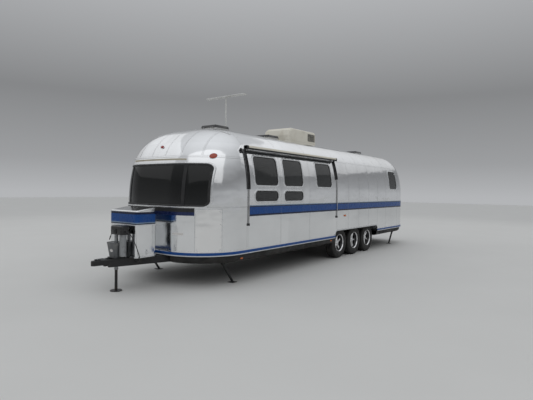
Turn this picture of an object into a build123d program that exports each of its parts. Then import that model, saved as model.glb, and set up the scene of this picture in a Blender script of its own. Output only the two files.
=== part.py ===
from build123d import *
import math
import os

os.makedirs("parts", exist_ok=True)

# A long polished travel caravan on three axles, parked on its tongue jack and four stabiliser legs.
# Millimetres. X is across, +X the street side; Y runs from the hitch to the rear; Z is up from the ground.

# Overall sizes
BODY_LENGTH = 9250
BODY_WIDTH = 2440
HITCH_REACH = 1100
BUMPER_REACH = 70
WALL = 45
OVERCUT = 1
OUTSIDE = 100
FRONT_Y = HITCH_REACH - (HITCH_REACH + BODY_LENGTH + BUMPER_REACH) / 2
MID_Y = FRONT_Y + BODY_LENGTH / 2


def along(distance):
    """The Y of a place this far behind the body's front face."""
    return FRONT_Y + distance


# The hull: rounded rectangles whose insets follow three tangent arcs, over the walls and over the ends
PLAN_CORNER = 850
ROOF_CORNER = 20.4
CORNER_TIGHTENING = (PLAN_CORNER - ROOF_CORNER) / (BODY_WIDTH / 2)
SIDE_FOOT = 1550
SIDE_BENDS = ((2200, 18.0), (600, 74.3))  # columns: radius, angle where the arc ends
END_FOOT = 1324
END_BENDS = ((3080, 12.2), (850, 74.0))  # columns: radius, angle where the arc ends
LEVEL_ANGLES = (4.5, 9.0, 13.5, 18.0, 27.5, 37.0, 46.5, 56.0, 65.0, 74.3, 79.0, 83.5, 87.5)
END_OVERLAP = 224

# Floor and belly
FLOOR_BOTTOM = 513
FLOOR_TOP = 575
FLOOR_INSET = 4
PAN_INSET = 22
PAN_EDGE = 90
PAN_SHEET = 4
RAIL_BOTTOM = 393
RAIL_WIDTH = 50
RAIL_SPREAD = 620
PAN_GAP = 0.5
PAN_BOTTOM = RAIL_BOTTOM - PAN_GAP - PAN_SHEET
PAN_MOUTH = 420
PAN_TAIL = 200

# Members across the frame, by their places behind the front
FIRST_MEMBER = 100
MEMBER_START = 1000
MEMBER_PITCH = 925
LAST_MEMBER = BODY_LENGTH - 150
CROSS_LIFT = 20
OUTRIGGER_LIFT = 60
OUTRIGGER_INSET = 100

# Rear bumper; columns: half width, bottom, top, corner
BUMPER = (900, 418, 508, 50)
BUMPER_START = BODY_LENGTH - PAN_INSET + 4

# Seams between the panels
CAP_LENGTH = 1030
ROOF_SEAM = 2275

# Windows, by their glass; columns: start and end behind the front, bottom, top
GLASS_SKIN = (6, 12)
FRAME_SKIN = (-9, 20)
FRAME_WIDTH = 42
GLASS_CORNER = 70
PANE_CORNER = 30
UPPER = (1678, 2172)
LOWER = (1395, 1569)
LAST_WINDOW = (BODY_LENGTH - 1663, BODY_LENGTH - 1114, *UPPER)
STREET_WINDOWS = (
    (1235, 1915, *UPPER),
    (1235, 1915, *LOWER),
    (2136, 2795, *UPPER),
    (2136, 2795, *LOWER),
    (3368, 4019, *UPPER),
    LAST_WINDOW,
)
CURB_WINDOWS = (
    (1235, 1915, *UPPER),
    (2136, 2795, *UPPER),
    (4300, 4950, *UPPER),
    (5900, 6550, *UPPER),
    LAST_WINDOW,
)
END_WINDOW_DEPTH = 460
SIDE_PRISM = 300
SIDE_PROUD = 60
FRONT_PANES = ((-1005, -690), (-650, 650), (690, 1005))  # columns: left and right
FRONT_WINDOW = (-1005, 1005, 1330, 1977)
REAR_WINDOW = (-620, 620, 1500, 2000)

# Entry door, on the curb side, hinged at its front edge
DOOR_START = 3060
DOOR_END = 3740
DOOR_BOTTOM = 600
DOOR_TOP = 2140
DOOR_CORNER = 120
DOOR_GAP = 8
DOOR_SWING_GAP = 5
DOOR_HANDLE = (70, 150, 10)  # columns: width, height, thickness
HANDLE_PLACE = (100, 1120)  # columns: in from the free edge, height
HANDLE_CORNER = 20
DOOR_GLASS = (3200, 3600, 1560, 1960)
HINGE_HEIGHTS = (740, 1110, 1480)
HINGE_RADIUS = 9
HINGE_LENGTH = 44
HINGE_STAND = 11
KNUCKLE_GAP = 1
LEAF_REACH = 46
LEAF_THICKNESS = 4

# Rear locker door, hinged along its top edge
LOCKER = (-520, 520, 650, 1060)
LOCKER_CORNER = 50
LOCKER_GAP = 10
LOCKER_HINGES = (-300, 0, 300)
LOCKER_HINGE_STAND = 10
LOCKER_HINGE_RADIUS = 8
LOCKER_LEAF_REACH = 30

# Wheels and axles
AXLE_FIRST = BODY_LENGTH - 4587
AXLE_SPACING = 808
AXLE_COUNT = 3
WHEEL_RADIUS = 360
TYRE_WIDTH = 224
WHEEL_PLANE = BODY_WIDTH / 2 - TYRE_WIDTH / 2 - 98
BEAD_RADIUS = 192
RIM_WIDTH = 188
AXLE_TUBE = 90
AXLE_PAD = (120, 140, 4)  # columns: width, length, thickness
ARM_REACH = 150
ARM_THICKNESS = 25
ARM_ENDS = (50, 38)  # columns: radius at the tube, radius at the spindle
ARM_PLANE = WHEEL_PLANE - 210
SPINDLE_RADIUS = 22
SPINDLE_CLEARANCE = 0.05
SPINDLE_END = -20
SPINDLE_ROOM = 5
PLATE_PLACE = -98
PLATE_SHEET = 6
DRUM_RADIUS = 145
DRUM_PLACE = -85

# Tyre and rim; the rim's profile has columns: way out from the wheel's middle plane, radius
FLANGE_RADIUS = 204
SIDEWALL_RADIUS = 268
SHOULDER_X = 90
SHOULDER_RADIUS = 352
FLANGE_SHEET = 8
RIM_BARREL = 178
RIM_FACE = ((44, 162), (38, 62), (54, 42), (54, 0), (12, 0), (12, 150), (20, RIM_BARREL))
FLANGE_FOOT = 184
DISC_BACK = 12
SPOKES = 5
RIM_WINDOW = (66, 18, 150, 58)  # columns: inner radius and half width, outer radius and half width
WINDOW_CORNER = 12

# Wheel wells, from the front wheel's front to the rear wheel's rear
WELL_START = AXLE_FIRST - 443
WELL_END = WELL_START + 2500
WELL_INNER = WHEEL_PLANE - 240
WELL_TOP = 800
WELL_SHEET = 10
OPENING_TOP = 680
OPENING_CORNER = 110

# Hitch, jack and bottles
COUPLER_START = -850
COUPLER = (85, 45, 75)  # columns: half width at the rails, radius of the nose, height
BALL_RADIUS = 30
BALL_HEIGHT = 460
BALL_DEPTH = 25
BALL_INSET = 48
LATCH = (14, 60, 150, 22)  # columns: half width, start and end behind the nose, height
FRAME_NOSE = 60
FRAME_SPLAY = 1200
JACK_PLACE = -680
JACK_RADIUS = 28
JACK_LEG_RADIUS = 22
JACK_CLEARANCE = 1
JACK_FOOT = 90
JACK_FOOT_SHEET = 12
JACK_LEG_LENGTH = 500
JACK_TUBE_FOOT = 330
JACK_BORE_TOP = 830
JACK_FLANGE = (290, 150, 8)  # columns: width, depth, thickness
HOUSING_FOOT = (180, 146)  # columns: width, depth
HOUSING_MOUTH = (250, 200)  # columns: width, depth
HOUSING_TOP = 757
HOUSING_CORNER = 35
HEAD = (-60, 235, 150, 880, 140)  # columns: left, right, depth, bottom, height
HEAD_CORNER = 40
HEAD_EDGE = 35
MOTOR = (165, 52, 545)  # columns: place across, radius, bottom
CABLE_RADIUS = 6
CABLE_LIFT = 50
CABLE_SIDE = 22
CABLE_END = (-470, 455)  # columns: place behind the front, height
BOTTLE_SPREAD = 165
BOTTLE_PLACE = -376
# Gas bottle, in radius and height: foot ring, body, shoulder and collar
BOTTLE_RADIUS = 152
BOTTLE_FOOT = (96, 106, 18, 30)  # columns: inner and outer radius, height inside, height outside
BOTTLE_BODY = (90, 470)
BOTTLE_COLLAR = (62, 70, 550, 620)  # columns: inner and outer radius, foot, top
BOTTLE_BULGE = 12
COLLAR_FLOOR = 8
COVER = (-340, 340, -566, -186)
COVER_TOP = 1300
COVER_FRONT_TOP = 1242
COVER_SHEET = 4
COVER_CORNER = 45
COVER_EDGE = 22
TRAY_SHEET = 6

# Stabiliser legs; columns: name, side, place behind the front, way the foot points
LEG_FRONT = 700
LEG_REAR = BODY_LENGTH - 700
STABILISERS = (
    ("street_front", 1, LEG_FRONT, 1),
    ("curb_front", -1, LEG_FRONT, 1),
    ("street_rear", 1, LEG_REAR, -1),
    ("curb_rear", -1, LEG_REAR, -1),
)
LEG_PLANE = BODY_WIDTH / 2 - 260
LEG_PIVOT = 352
LEG_RUN = 250
LEG_WIDTH = 36
FOOT_GAP = 1
FOOT_SIZE = 120
FOOT_SHEET = 6
FOOT_SINK = 2
TOE_RADIUS = 12
EAR_RADIUS = 20
EAR_FOOT = 60
EAR_PLATE = 80
EAR_GAP = 5
EAR_SHEET = 6
PIN_RADIUS = 7
PIN_CLEARANCE = 0.05

# Roof pieces; heights are above the roof's crown
CONDITIONER = (3540, 4770, 311)  # columns: start, end, height
CONDITIONER_WIDTH = 700
CONDITIONER_NOSE = (141, 40, 140, 60)  # columns: height of the brow, its lean, start of the top, edge drop
CONDITIONER_CORNER = 45
VENTS = (  # columns: name, start, end
    ("front", 1300, 1690),
    ("middle", 2990, 3380),
    ("rear", BODY_LENGTH - 1780, BODY_LENGTH - 1390),
)
ROOF_SINK = 34
COLLAR_HEIGHT = 39
COLLAR_SHEET = 14
LID_GAP = 5
LID_OVERHANG = 8
LID_HEIGHT = 46
LID_TAPER = 25
LID_SHEET = 4
LID_CORNER = 35
LID_HINGES = (-120, 120)
LID_HINGE_STAND = 7
LID_HINGE_RADIUS = 5
LID_BARREL = 30
LID_EAR = 12
EAR_STEP = 2
MAST_PLACE = 1800
MAST_BASE = (80, 90, 26)  # columns: half width, half length, height
MAST_PIVOT_HEIGHT = 71
MAST_HEIGHT = 711
MAST_RADIUS = 13
MAST_EAR = (20, 18)  # columns: half length, height over the pivot
ANTENNA_HEAD = (960, 55, 16)  # columns: span, half depth, half height

# Stone guards, rub rail and lamps
GUARD_START = 850
GUARD_END = 483
GUARD_TOP = 1276
GUARD_SHEET = 5
RAIL_PROUD = 12
RAIL_BEVEL = 7
LAMP_PROUD = 22
LAMP_CORNER = 30
TAIL_LAMP = (BODY_WIDTH / 2 - 440, BODY_WIDTH / 2 - 260, 950, 1350)  # columns: inner x, outer x, bottom, top

# Awnings; columns: name, side, start, end
AWNINGS = (("street_awning", 1, 1020, 4290), ("curb_awning", -1, 1020, BODY_LENGTH - 1850))
ROLLER_HEIGHT = 2312
ROLLER_RADIUS = 36
ROLLER_GAP = 51
CRADLE = (58, 42, 50, 40)  # columns: way in and way out of the roller's middle, half height, length
ARM_PROUD = 30
ARM_WIDTH = 38
ARM_FOOT = 980
ARM_INSET = 20
ARM_TOP_DROP = 40

# Step, under the entry door
STEP_START = 3100
STEP_END = 3700
STEP_DEPTH = 260
STEP_TOP = 330
STEP_EDGE = BODY_WIDTH / 2 - 90
STEP_SKIRT = 30
STEP_SHEET = 4
STEP_CORNER = 20
STEP_GAP = 5
GUIDE_WIDTH = 14
GUIDE_REACH = 40


def arc_chain(foot, arcs, depth):
    """Centre inset, centre height, radius and end angle of each tangent arc, this deep in the wall."""
    inset, height, angle = 0.0, foot, 0.0
    chain = []
    for radius, end in arcs:
        centre_inset = inset + radius * math.cos(angle)
        centre_height = height - radius * math.sin(angle)
        angle = math.radians(end)
        inset = centre_inset - radius * math.cos(angle)
        height = centre_height + radius * math.sin(angle)
        chain.append((centre_inset, centre_height, radius - depth, angle))
    return chain


def last_bend(foot, bends):
    """Inset, height and angle where the last bend ends and the crown begins."""
    centre_inset, centre_height, radius, angle = arc_chain(foot, bends, 0)[-1]
    return centre_inset - radius * math.cos(angle), centre_height + radius * math.sin(angle), angle


# The crown's arc meets the centre line level, and the ends' last arc rises to the same height
crown_inset, crown_foot, crown_angle = last_bend(SIDE_FOOT, SIDE_BENDS)
CROWN_RADIUS = (BODY_WIDTH / 2 - crown_inset) / math.cos(crown_angle)
ROOF_TOP = crown_foot + CROWN_RADIUS * (1 - math.sin(crown_angle))
SIDE_ARCS = (*SIDE_BENDS, (CROWN_RADIUS, 90.0))
end_inset, end_foot, end_angle = last_bend(END_FOOT, END_BENDS)
END_CROWN_RADIUS = (ROOF_TOP - end_foot) / (1 - math.sin(end_angle))
END_ARCS = (*END_BENDS, (END_CROWN_RADIUS, 90.0))
END_LEVEL = end_inset + END_CROWN_RADIUS * math.cos(end_angle)
END_RUN = END_LEVEL + END_OVERLAP
SKY = ROOF_TOP + 180
COLLAR_TOP = ROOF_TOP + COLLAR_HEIGHT
MAST_PIVOT = ROOF_TOP + MAST_PIVOT_HEIGHT
MAST_TOP = ROOF_TOP + MAST_HEIGHT


def inset_at(foot, arcs, depth, height):
    """How far the hull's skin, this deep in the wall, stands inside the outer wall at a height."""
    if height <= foot:
        return depth
    for centre_inset, centre_height, radius, end in arc_chain(foot, arcs, depth):
        if height <= centre_height + radius * math.sin(end):
            return centre_inset - math.sqrt(radius**2 - (height - centre_height) ** 2)
    raise ValueError("above the roof")


def side_x(height, depth=0):
    """The wall's distance from the centre line at a height."""
    return BODY_WIDTH / 2 - inset_at(SIDE_FOOT, SIDE_ARCS, depth, height)


ROLLER_PLANE = side_x(ROLLER_HEIGHT) + ROLLER_RADIUS + ROLLER_GAP


def levels(depth):
    """Height, side inset and end inset of each section of an end."""
    rows = [(height, depth, inset_at(END_FOOT, END_ARCS, depth, height)) for height in (END_FOOT, SIDE_FOOT)]
    chain = arc_chain(SIDE_FOOT, SIDE_ARCS, depth)
    for degrees in LEVEL_ANGLES:
        angle = math.radians(degrees)
        centre_inset, centre_height, radius, _ = next(row for row in chain if angle <= row[3] + 1e-9)
        height = centre_height + radius * math.sin(angle)
        from_side = centre_inset - radius * math.cos(angle)
        rows.append((height, from_side, inset_at(END_FOOT, END_ARCS, depth, height)))
    return rows


def outline(side_inset, end_inset, depth=0):
    """The body's plan at a low level, inset from its sides and ends."""
    RectangleRounded(BODY_WIDTH - 2 * side_inset, BODY_LENGTH - 2 * end_inset, PLAN_CORNER - depth)


def end_form(end, depth, bottom):
    """The domed front, end -1, or rear, end 1: rounded sections whose corners tighten as the roof closes."""
    skin = along(0) if end < 0 else along(BODY_LENGTH)
    rows = [(bottom, depth, depth), *levels(depth)]
    with BuildPart() as form:
        for height, side_inset, end_inset in rows:
            depth_of_end = END_RUN - end_inset
            radius = PLAN_CORNER - depth - CORNER_TIGHTENING * (side_inset - depth)
            with BuildSketch(Plane((0, skin - end * (end_inset + depth_of_end / 2), height))) as section:
                Rectangle(BODY_WIDTH - 2 * side_inset, depth_of_end)
                fillet(section.vertices().group_by(Axis.Y)[0 if end < 0 else -1], radius)
        loft(ruled=True)
    return form.part


def middle_form(depth, bottom):
    """The body between its ends: a wall, a leaning shoulder and a crown on each side, all tangent arcs."""
    half = BODY_WIDTH / 2
    chain = arc_chain(SIDE_FOOT, SIDE_ARCS, depth)
    with BuildPart() as form:
        with BuildSketch(Plane((0, along(END_LEVEL), 0), x_dir=(1, 0, 0), z_dir=(0, -1, 0))):
            with BuildLine():
                wall_foot, wall_top = (half - depth, bottom), (half - depth, SIDE_FOOT)
                Polyline((0, ROOF_TOP - depth), (0, bottom), wall_foot, wall_top)
                start = 0.0
                for centre_inset, centre_height, radius, end in chain:
                    centre_x = half - centre_inset
                    bend = [
                        (centre_x + radius * math.cos(angle), centre_height + radius * math.sin(angle))
                        for angle in (start, (start + end) / 2, end)
                    ]
                    ThreePointArc(*bend)
                    start = end
            make_face()
        extrude(amount=-(BODY_LENGTH - 2 * END_LEVEL))
        mirror(about=Plane.YZ)
    return form.part


def hull(depth, bottom=FLOOR_TOP):
    """The closed form inside the skin that lies this deep in the wall."""
    with BuildPart() as form:
        add(middle_form(depth, bottom))
        for end in (-1, 1):
            add(end_form(end, depth, bottom))
    return form.part


HINGE_X = BODY_WIDTH / 2 + HINGE_STAND
HINGE_Y = along(DOOR_START - DOOR_GAP / 2)
HINGE_SHIFT = HINGE_LENGTH + KNUCKLE_GAP
LOCKER_HINGE_Y = along(BODY_LENGTH) + LOCKER_HINGE_STAND
LOCKER_HINGE_Z = LOCKER[3] + LOCKER_GAP / 2


def block(low, high, mode=Mode.ADD):
    """A box between two corners."""
    with Locations(tuple((a + b) / 2 for a, b in zip(low, high))):
        Box(*(b - a for a, b in zip(low, high)), mode=mode)


def side_plane(side):
    """A plane on the centre line, drawn in Y and Z, that faces one side of the body."""
    return Plane((0, 0, 0), x_dir=(0, side, 0), z_dir=(side, 0, 0))


def side_prism(side, window, grow=0, corner=GLASS_CORNER, mode=Mode.SUBTRACT):
    """A rounded prism through one side wall; window gives start, end, bottom and top."""
    start, end, bottom, top = window
    with BuildSketch(side_plane(side).offset(BODY_WIDTH / 2 - SIDE_PRISM)) as face:
        with Locations((side * along((start + end) / 2), (bottom + top) / 2)):
            RectangleRounded(end - start + 2 * grow, top - bottom + 2 * grow, corner + grow)
    extrude(face.sketch, amount=SIDE_PRISM + SIDE_PROUD, mode=mode)


def end_prism(end, window, grow=0, corner=GLASS_CORNER, mode=Mode.SUBTRACT):
    """A rounded prism through the front, end -1, or rear, end 1; window gives left, right, bottom, top."""
    left, right, bottom, top = window
    skin = along(0) if end < 0 else along(BODY_LENGTH)
    with BuildSketch(Plane((0, skin - end * END_WINDOW_DEPTH, 0), x_dir=(1, 0, 0), z_dir=(0, -1, 0))) as face:
        with Locations(((left + right) / 2, (bottom + top) / 2)):
            RectangleRounded(right - left + 2 * grow, top - bottom + 2 * grow, corner + grow)
    extrude(face.sketch, amount=-end * (END_WINDOW_DEPTH + OUTSIDE), mode=mode)


def hinge_leaves(way):
    """The entry door's hinge leaves and knuckles: on the door, way 1, or on the wall, way -1."""
    for height in HINGE_HEIGHTS:
        for shift in (0,) if way > 0 else (-HINGE_SHIFT, HINGE_SHIFT):
            with Locations((-HINGE_X, HINGE_Y, height + shift)):
                Cylinder(HINGE_RADIUS, HINGE_LENGTH)
            near, far = sorted((HINGE_Y, HINGE_Y + way * LEAF_REACH))
            low, high = height + shift - HINGE_LENGTH / 2, height + shift + HINGE_LENGTH / 2
            block((-BODY_WIDTH / 2 - LEAF_THICKNESS, near, low), (-BODY_WIDTH / 2, far, high))


def locker_hinges(way):
    """The rear locker's hinges: a knuckle and leaf on the door, way -1, or two of each on the cap, way 1."""
    for place in LOCKER_HINGES:
        for shift in (0,) if way < 0 else (-HINGE_SHIFT, HINGE_SHIFT):
            with Locations(Location((place + shift, LOCKER_HINGE_Y, LOCKER_HINGE_Z), (0, 90, 0))):
                Cylinder(LOCKER_HINGE_RADIUS, HINGE_LENGTH)
            left, right = place + shift - HINGE_LENGTH / 2, place + shift + HINGE_LENGTH / 2
            low, high = sorted((LOCKER_HINGE_Z, LOCKER_HINGE_Z + way * LOCKER_LEAF_REACH))
            block((left, along(BODY_LENGTH), low), (right, along(BODY_LENGTH) + LEAF_THICKNESS, high))


def save(part, name):
    """Labels a finished piece and writes it."""
    part.label = name
    export_step(part, f"parts/{name}.step")


# The skins that the panels, frames and glass are cut from
outer_hull = hull(0)
inner_hull = hull(WALL)

with BuildPart() as shell:
    add(outer_hull)
    add(inner_hull, mode=Mode.SUBTRACT)

with BuildPart() as frame_skin:
    add(hull(FRAME_SKIN[0]))
    add(hull(FRAME_SKIN[1]), mode=Mode.SUBTRACT)

with BuildPart() as glass_skin:
    add(hull(GLASS_SKIN[0]))
    add(hull(GLASS_SKIN[1]), mode=Mode.SUBTRACT)

CAP_FRONT = along(CAP_LENGTH)
CAP_REAR = along(BODY_LENGTH - CAP_LENGTH)
HALF = BODY_WIDTH / 2 + OUTSIDE

# Front cap, with the wrap-round window's hole
with BuildPart() as front_cap:
    add(shell.part)
    block((-HALF, along(-OUTSIDE), FLOOR_TOP), (HALF, CAP_FRONT, SKY), mode=Mode.INTERSECT)
    end_prism(-1, FRONT_WINDOW, FRAME_WIDTH)
front_cap.part.label = "front_cap"
export_step(front_cap.part, "parts/front_cap.step")

# Rear cap, with its window's hole and the locker's hole
with BuildPart() as rear_cap:
    add(shell.part)
    block((-HALF, CAP_REAR, FLOOR_TOP), (HALF, along(BODY_LENGTH + OUTSIDE), SKY), mode=Mode.INTERSECT)
    end_prism(1, REAR_WINDOW, FRAME_WIDTH)
    end_prism(1, LOCKER, LOCKER_GAP, LOCKER_CORNER)
    locker_hinges(1)
rear_cap.part.label = "rear_cap"
export_step(rear_cap.part, "parts/rear_cap.step")

# Side walls, with windows and the wheel opening
door_window = (DOOR_START, DOOR_END, DOOR_BOTTOM, DOOR_TOP)
wheel_opening = (WELL_START, WELL_END, FLOOR_TOP - 2 * OPENING_CORNER, OPENING_TOP)
for name, side, windows in (("street_wall", 1, STREET_WINDOWS), ("curb_wall", -1, CURB_WINDOWS)):
    near, far = sorted((0, side * HALF))
    with BuildPart() as wall:
        add(shell.part)
        block((near, CAP_FRONT, FLOOR_TOP), (far, CAP_REAR, ROOF_SEAM), mode=Mode.INTERSECT)
        for window in windows:
            side_prism(side, window, FRAME_WIDTH)
        side_prism(side, wheel_opening, 0, OPENING_CORNER)
        if side < 0:
            side_prism(side, door_window, DOOR_GAP, DOOR_CORNER)
            hinge_leaves(-1)
    save(wall.part, name)

# Roof panels between the caps
with BuildPart() as roof:
    add(shell.part)
    block((-HALF, CAP_FRONT, ROOF_SEAM), (HALF, CAP_REAR, SKY), mode=Mode.INTERSECT)
    for _, start, end in VENTS:
        reach = (end - start) / 2 - COLLAR_SHEET
        middle = along((start + end) / 2)
        block((-reach, middle - reach, ROOF_SEAM), (reach, middle + reach, SKY), mode=Mode.SUBTRACT)
roof.part.label = "roof"
export_step(roof.part, "parts/roof.step")

# Floor, cut for the wheels
with BuildPart() as floor:
    with BuildSketch(Plane((0, MID_Y, FLOOR_BOTTOM))):
        outline(FLOOR_INSET, FLOOR_INSET)
    extrude(amount=FLOOR_TOP - FLOOR_BOTTOM)
    for side in (1, -1):
        near, far = sorted((side * WELL_INNER, side * HALF))
        block((near, along(WELL_START), 0), (far, along(WELL_END), WELL_TOP), mode=Mode.SUBTRACT)
floor.part.label = "floor"
export_step(floor.part, "parts/floor.step")

# Wheel boxes, in the cabin over the wheels
with BuildPart() as wheel_boxes:
    for side in (1, -1):
        reach = side_x(FLOOR_TOP, WALL)
        near, far = sorted((side * (WELL_INNER - WELL_SHEET), side * reach))
        block(
            (near, along(WELL_START) - WELL_SHEET, FLOOR_TOP),
            (far, along(WELL_END) + WELL_SHEET, WELL_TOP + WELL_SHEET),
        )
        near, far = sorted((side * WELL_INNER, side * (reach + OVERCUT)))
        low = FLOOR_TOP - OVERCUT
        block((near, along(WELL_START), low), (far, along(WELL_END), WELL_TOP), mode=Mode.SUBTRACT)
wheel_boxes.part.label = "wheel_boxes"
export_step(wheel_boxes.part, "parts/wheel_boxes.step")

# Belly pan: a rolled sheet under the floor, open over the wheels and round the frame's nose
with BuildPart() as belly_pan:
    with BuildSketch(Plane((0, MID_Y, PAN_BOTTOM))):
        outline(PAN_INSET, PAN_INSET)
    extrude(amount=FLOOR_BOTTOM - PAN_BOTTOM)
    fillet(belly_pan.faces().sort_by(Axis.Z)[0].edges(), PAN_EDGE)
    offset(amount=-PAN_SHEET, openings=belly_pan.faces().sort_by(Axis.Z)[-1])
    for side in (1, -1):
        near, far = sorted((side * WELL_INNER, side * HALF))
        block((near, along(WELL_START), 0), (far, along(WELL_END), WELL_TOP), mode=Mode.SUBTRACT)
        near, far = sorted((side * (RAIL_SPREAD - RAIL_WIDTH / 2), side * (RAIL_SPREAD + RAIL_WIDTH / 2)))
        low = (near, along(BODY_LENGTH - PAN_TAIL), RAIL_BOTTOM)
        block(low, (far, along(BODY_LENGTH), FLOOR_BOTTOM + OVERCUT), mode=Mode.SUBTRACT)
    high = (PAN_MOUTH, along(PAN_INSET + PAN_EDGE), FLOOR_BOTTOM + OVERCUT)
    block((-PAN_MOUTH, along(0), 0), high, mode=Mode.SUBTRACT)
belly_pan.part.label = "belly_pan"
export_step(belly_pan.part, "parts/belly_pan.step")

# Frame rails, straight under the body and splayed to meet at the coupler
RAIL_HEIGHT = FLOOR_BOTTOM - RAIL_BOTTOM
with BuildPart() as frame_rails:
    for side in (1, -1):
        with BuildSketch(Plane((0, 0, RAIL_BOTTOM))):
            with BuildLine():
                inner, outer = RAIL_SPREAD - RAIL_WIDTH / 2, RAIL_SPREAD + RAIL_WIDTH / 2
                nose_in, nose_out = FRAME_NOSE - RAIL_WIDTH / 2, FRAME_NOSE + RAIL_WIDTH / 2
                Polyline(
                    (side * nose_in, along(COUPLER_START)),
                    (side * nose_out, along(COUPLER_START)),
                    (side * outer, along(FRAME_SPLAY)),
                    (side * outer, along(BUMPER_START)),
                    (side * inner, along(BUMPER_START)),
                    (side * inner, along(FRAME_SPLAY)),
                    close=True,
                )
            make_face()
        extrude(amount=RAIL_HEIGHT)
frame_rails.part.label = "frame_rails"
export_step(frame_rails.part, "parts/frame_rails.step")


def rail_place(place):
    """The rails' distance from the centre line at a place."""
    share = (place - COUPLER_START) / (FRAME_SPLAY - COUPLER_START)
    return FRAME_NOSE + (RAIL_SPREAD - FRAME_NOSE) * min(share, 1)


# Cross-members between the rails, and outriggers from the rails to the body's edges, clear of the wheels
member_count = int((LAST_MEMBER - MEMBER_START) / MEMBER_PITCH)
members = [MEMBER_START + MEMBER_PITCH * i for i in range(member_count + 1)]
outrigger_places = [place for place in members if not WELL_START - RAIL_WIDTH < place < WELL_END]
OUTRIGGER_REACH = BODY_WIDTH / 2 - OUTRIGGER_INSET
with BuildPart() as cross_members:
    for place in (FIRST_MEMBER, *members, LAST_MEMBER):
        half, low = rail_place(place), RAIL_BOTTOM + CROSS_LIFT
        block((-half, along(place), low), (half, along(place) + RAIL_WIDTH, FLOOR_BOTTOM))
    for place in outrigger_places:
        for side in (1, -1):
            near, far = sorted((side * rail_place(place), side * OUTRIGGER_REACH))
            low, high = RAIL_BOTTOM + OUTRIGGER_LIFT, FLOOR_BOTTOM
            block((near, along(place), low), (far, along(place) + RAIL_WIDTH / 2, high))
    add(frame_rails.part, mode=Mode.SUBTRACT)
cross_members.part.label = "cross_members"
export_step(cross_members.part, "parts/cross_members.step")

# Tray across the rails, under the gas bottles
with BuildPart() as bottle_tray:
    with BuildSketch(Plane((0, along((COVER[2] + COVER[3]) / 2), FLOOR_BOTTOM))):
        RectangleRounded(COVER[1] - COVER[0], COVER[3] - COVER[2], COVER_CORNER)
    extrude(amount=TRAY_SHEET)
bottle_tray.part.label = "bottle_tray"
export_step(bottle_tray.part, "parts/bottle_tray.step")
TRAY_TOP = FLOOR_BOTTOM + TRAY_SHEET

# Coupler: a folded nose over a ball socket, with its latch on top
COUPLER_FOOT = BALL_HEIGHT - BALL_DEPTH
with BuildPart() as coupler:
    half, nose, height = COUPLER
    with BuildSketch(Plane((0, 0, COUPLER_FOOT))):
        with BuildLine():
            Polyline(
                (-half, along(COUPLER_START)),
                (half, along(COUPLER_START)),
                (nose, along(-HITCH_REACH) + nose),
                (-nose, along(-HITCH_REACH) + nose),
                close=True,
            )
        make_face()
        with Locations((0, along(-HITCH_REACH) + nose)):
            Circle(nose)
    extrude(amount=height)
    fillet(coupler.faces().sort_by(Axis.Z)[-1].edges(), nose / 4)
    with BuildSketch(side_plane(1).offset(-LATCH[0])):
        with BuildLine():
            foot = COUPLER_FOOT + height - OVERCUT
            start, end = (along(reach - HITCH_REACH) for reach in LATCH[1:3])
            back, front = (end, foot + LATCH[3] / 3), (start, foot + LATCH[3])
            Polyline((start, foot), (end, foot), back, front, close=True)
        make_face()
    extrude(amount=2 * LATCH[0])
    with BuildSketch(Plane((0, 0, COUPLER_FOOT))):
        with Locations((0, along(-HITCH_REACH) + BALL_INSET)):
            Circle(BALL_RADIUS)
    extrude(amount=BALL_DEPTH, mode=Mode.SUBTRACT)
    with Locations((0, along(-HITCH_REACH) + BALL_INSET, BALL_HEIGHT)):
        Sphere(BALL_RADIUS, mode=Mode.SUBTRACT)
coupler.part.label = "coupler"
export_step(coupler.part, "parts/coupler.step")

# Tongue jack: the fixed tube, tapered housing, and the head with its motor beside the tube
JACK_Y = along(JACK_PLACE)
head_left, head_right, head_depth, head_foot, head_height = HEAD
with BuildPart() as jack_housing:
    with BuildSketch(Plane((0, JACK_Y, FLOOR_BOTTOM))):
        RectangleRounded(*JACK_FLANGE[:2], HOUSING_CORNER)
    extrude(amount=JACK_FLANGE[2])
    with Locations((0, JACK_Y, JACK_TUBE_FOOT)):
        Cylinder(JACK_RADIUS, head_foot - JACK_TUBE_FOOT, align=(Align.CENTER, Align.CENTER, Align.MIN))
    sections = ((FLOOR_BOTTOM + JACK_FLANGE[2], *HOUSING_FOOT), (HOUSING_TOP, *HOUSING_MOUTH))
    for height, width, depth in sections:
        with BuildSketch(Plane((0, JACK_Y, height))):
            RectangleRounded(width, depth, HOUSING_CORNER)
    loft()
    with BuildSketch(Plane(((head_left + head_right) / 2, JACK_Y, head_foot))):
        RectangleRounded(head_right - head_left, head_depth, HEAD_CORNER)
    extrude(amount=head_height)
    fillet(jack_housing.faces().sort_by(Axis.Z)[-1].edges(), HEAD_EDGE)
    with Locations((MOTOR[0], JACK_Y, MOTOR[2])):
        Cylinder(MOTOR[1], head_foot - MOTOR[2], align=(Align.CENTER, Align.CENTER, Align.MIN))
    with Locations((0, JACK_Y, JACK_TUBE_FOOT)):
        Cylinder(
            JACK_LEG_RADIUS + JACK_CLEARANCE,
            JACK_BORE_TOP - JACK_TUBE_FOOT,
            align=(Align.CENTER, Align.CENTER, Align.MIN),
            mode=Mode.SUBTRACT,
        )
jack_housing.part.label = "jack_housing"
export_step(jack_housing.part, "parts/jack_housing.step")

# Jack leg and its foot
with BuildPart() as jack_leg:
    with Locations((0, JACK_Y, 0)):
        Cylinder(JACK_FOOT, JACK_FOOT_SHEET, align=(Align.CENTER, Align.CENTER, Align.MIN))
        Cylinder(JACK_LEG_RADIUS, JACK_LEG_LENGTH, align=(Align.CENTER, Align.CENTER, Align.MIN))
jack_leg.part.label = "jack_leg"
export_step(jack_leg.part, "parts/jack_leg.step")

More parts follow.
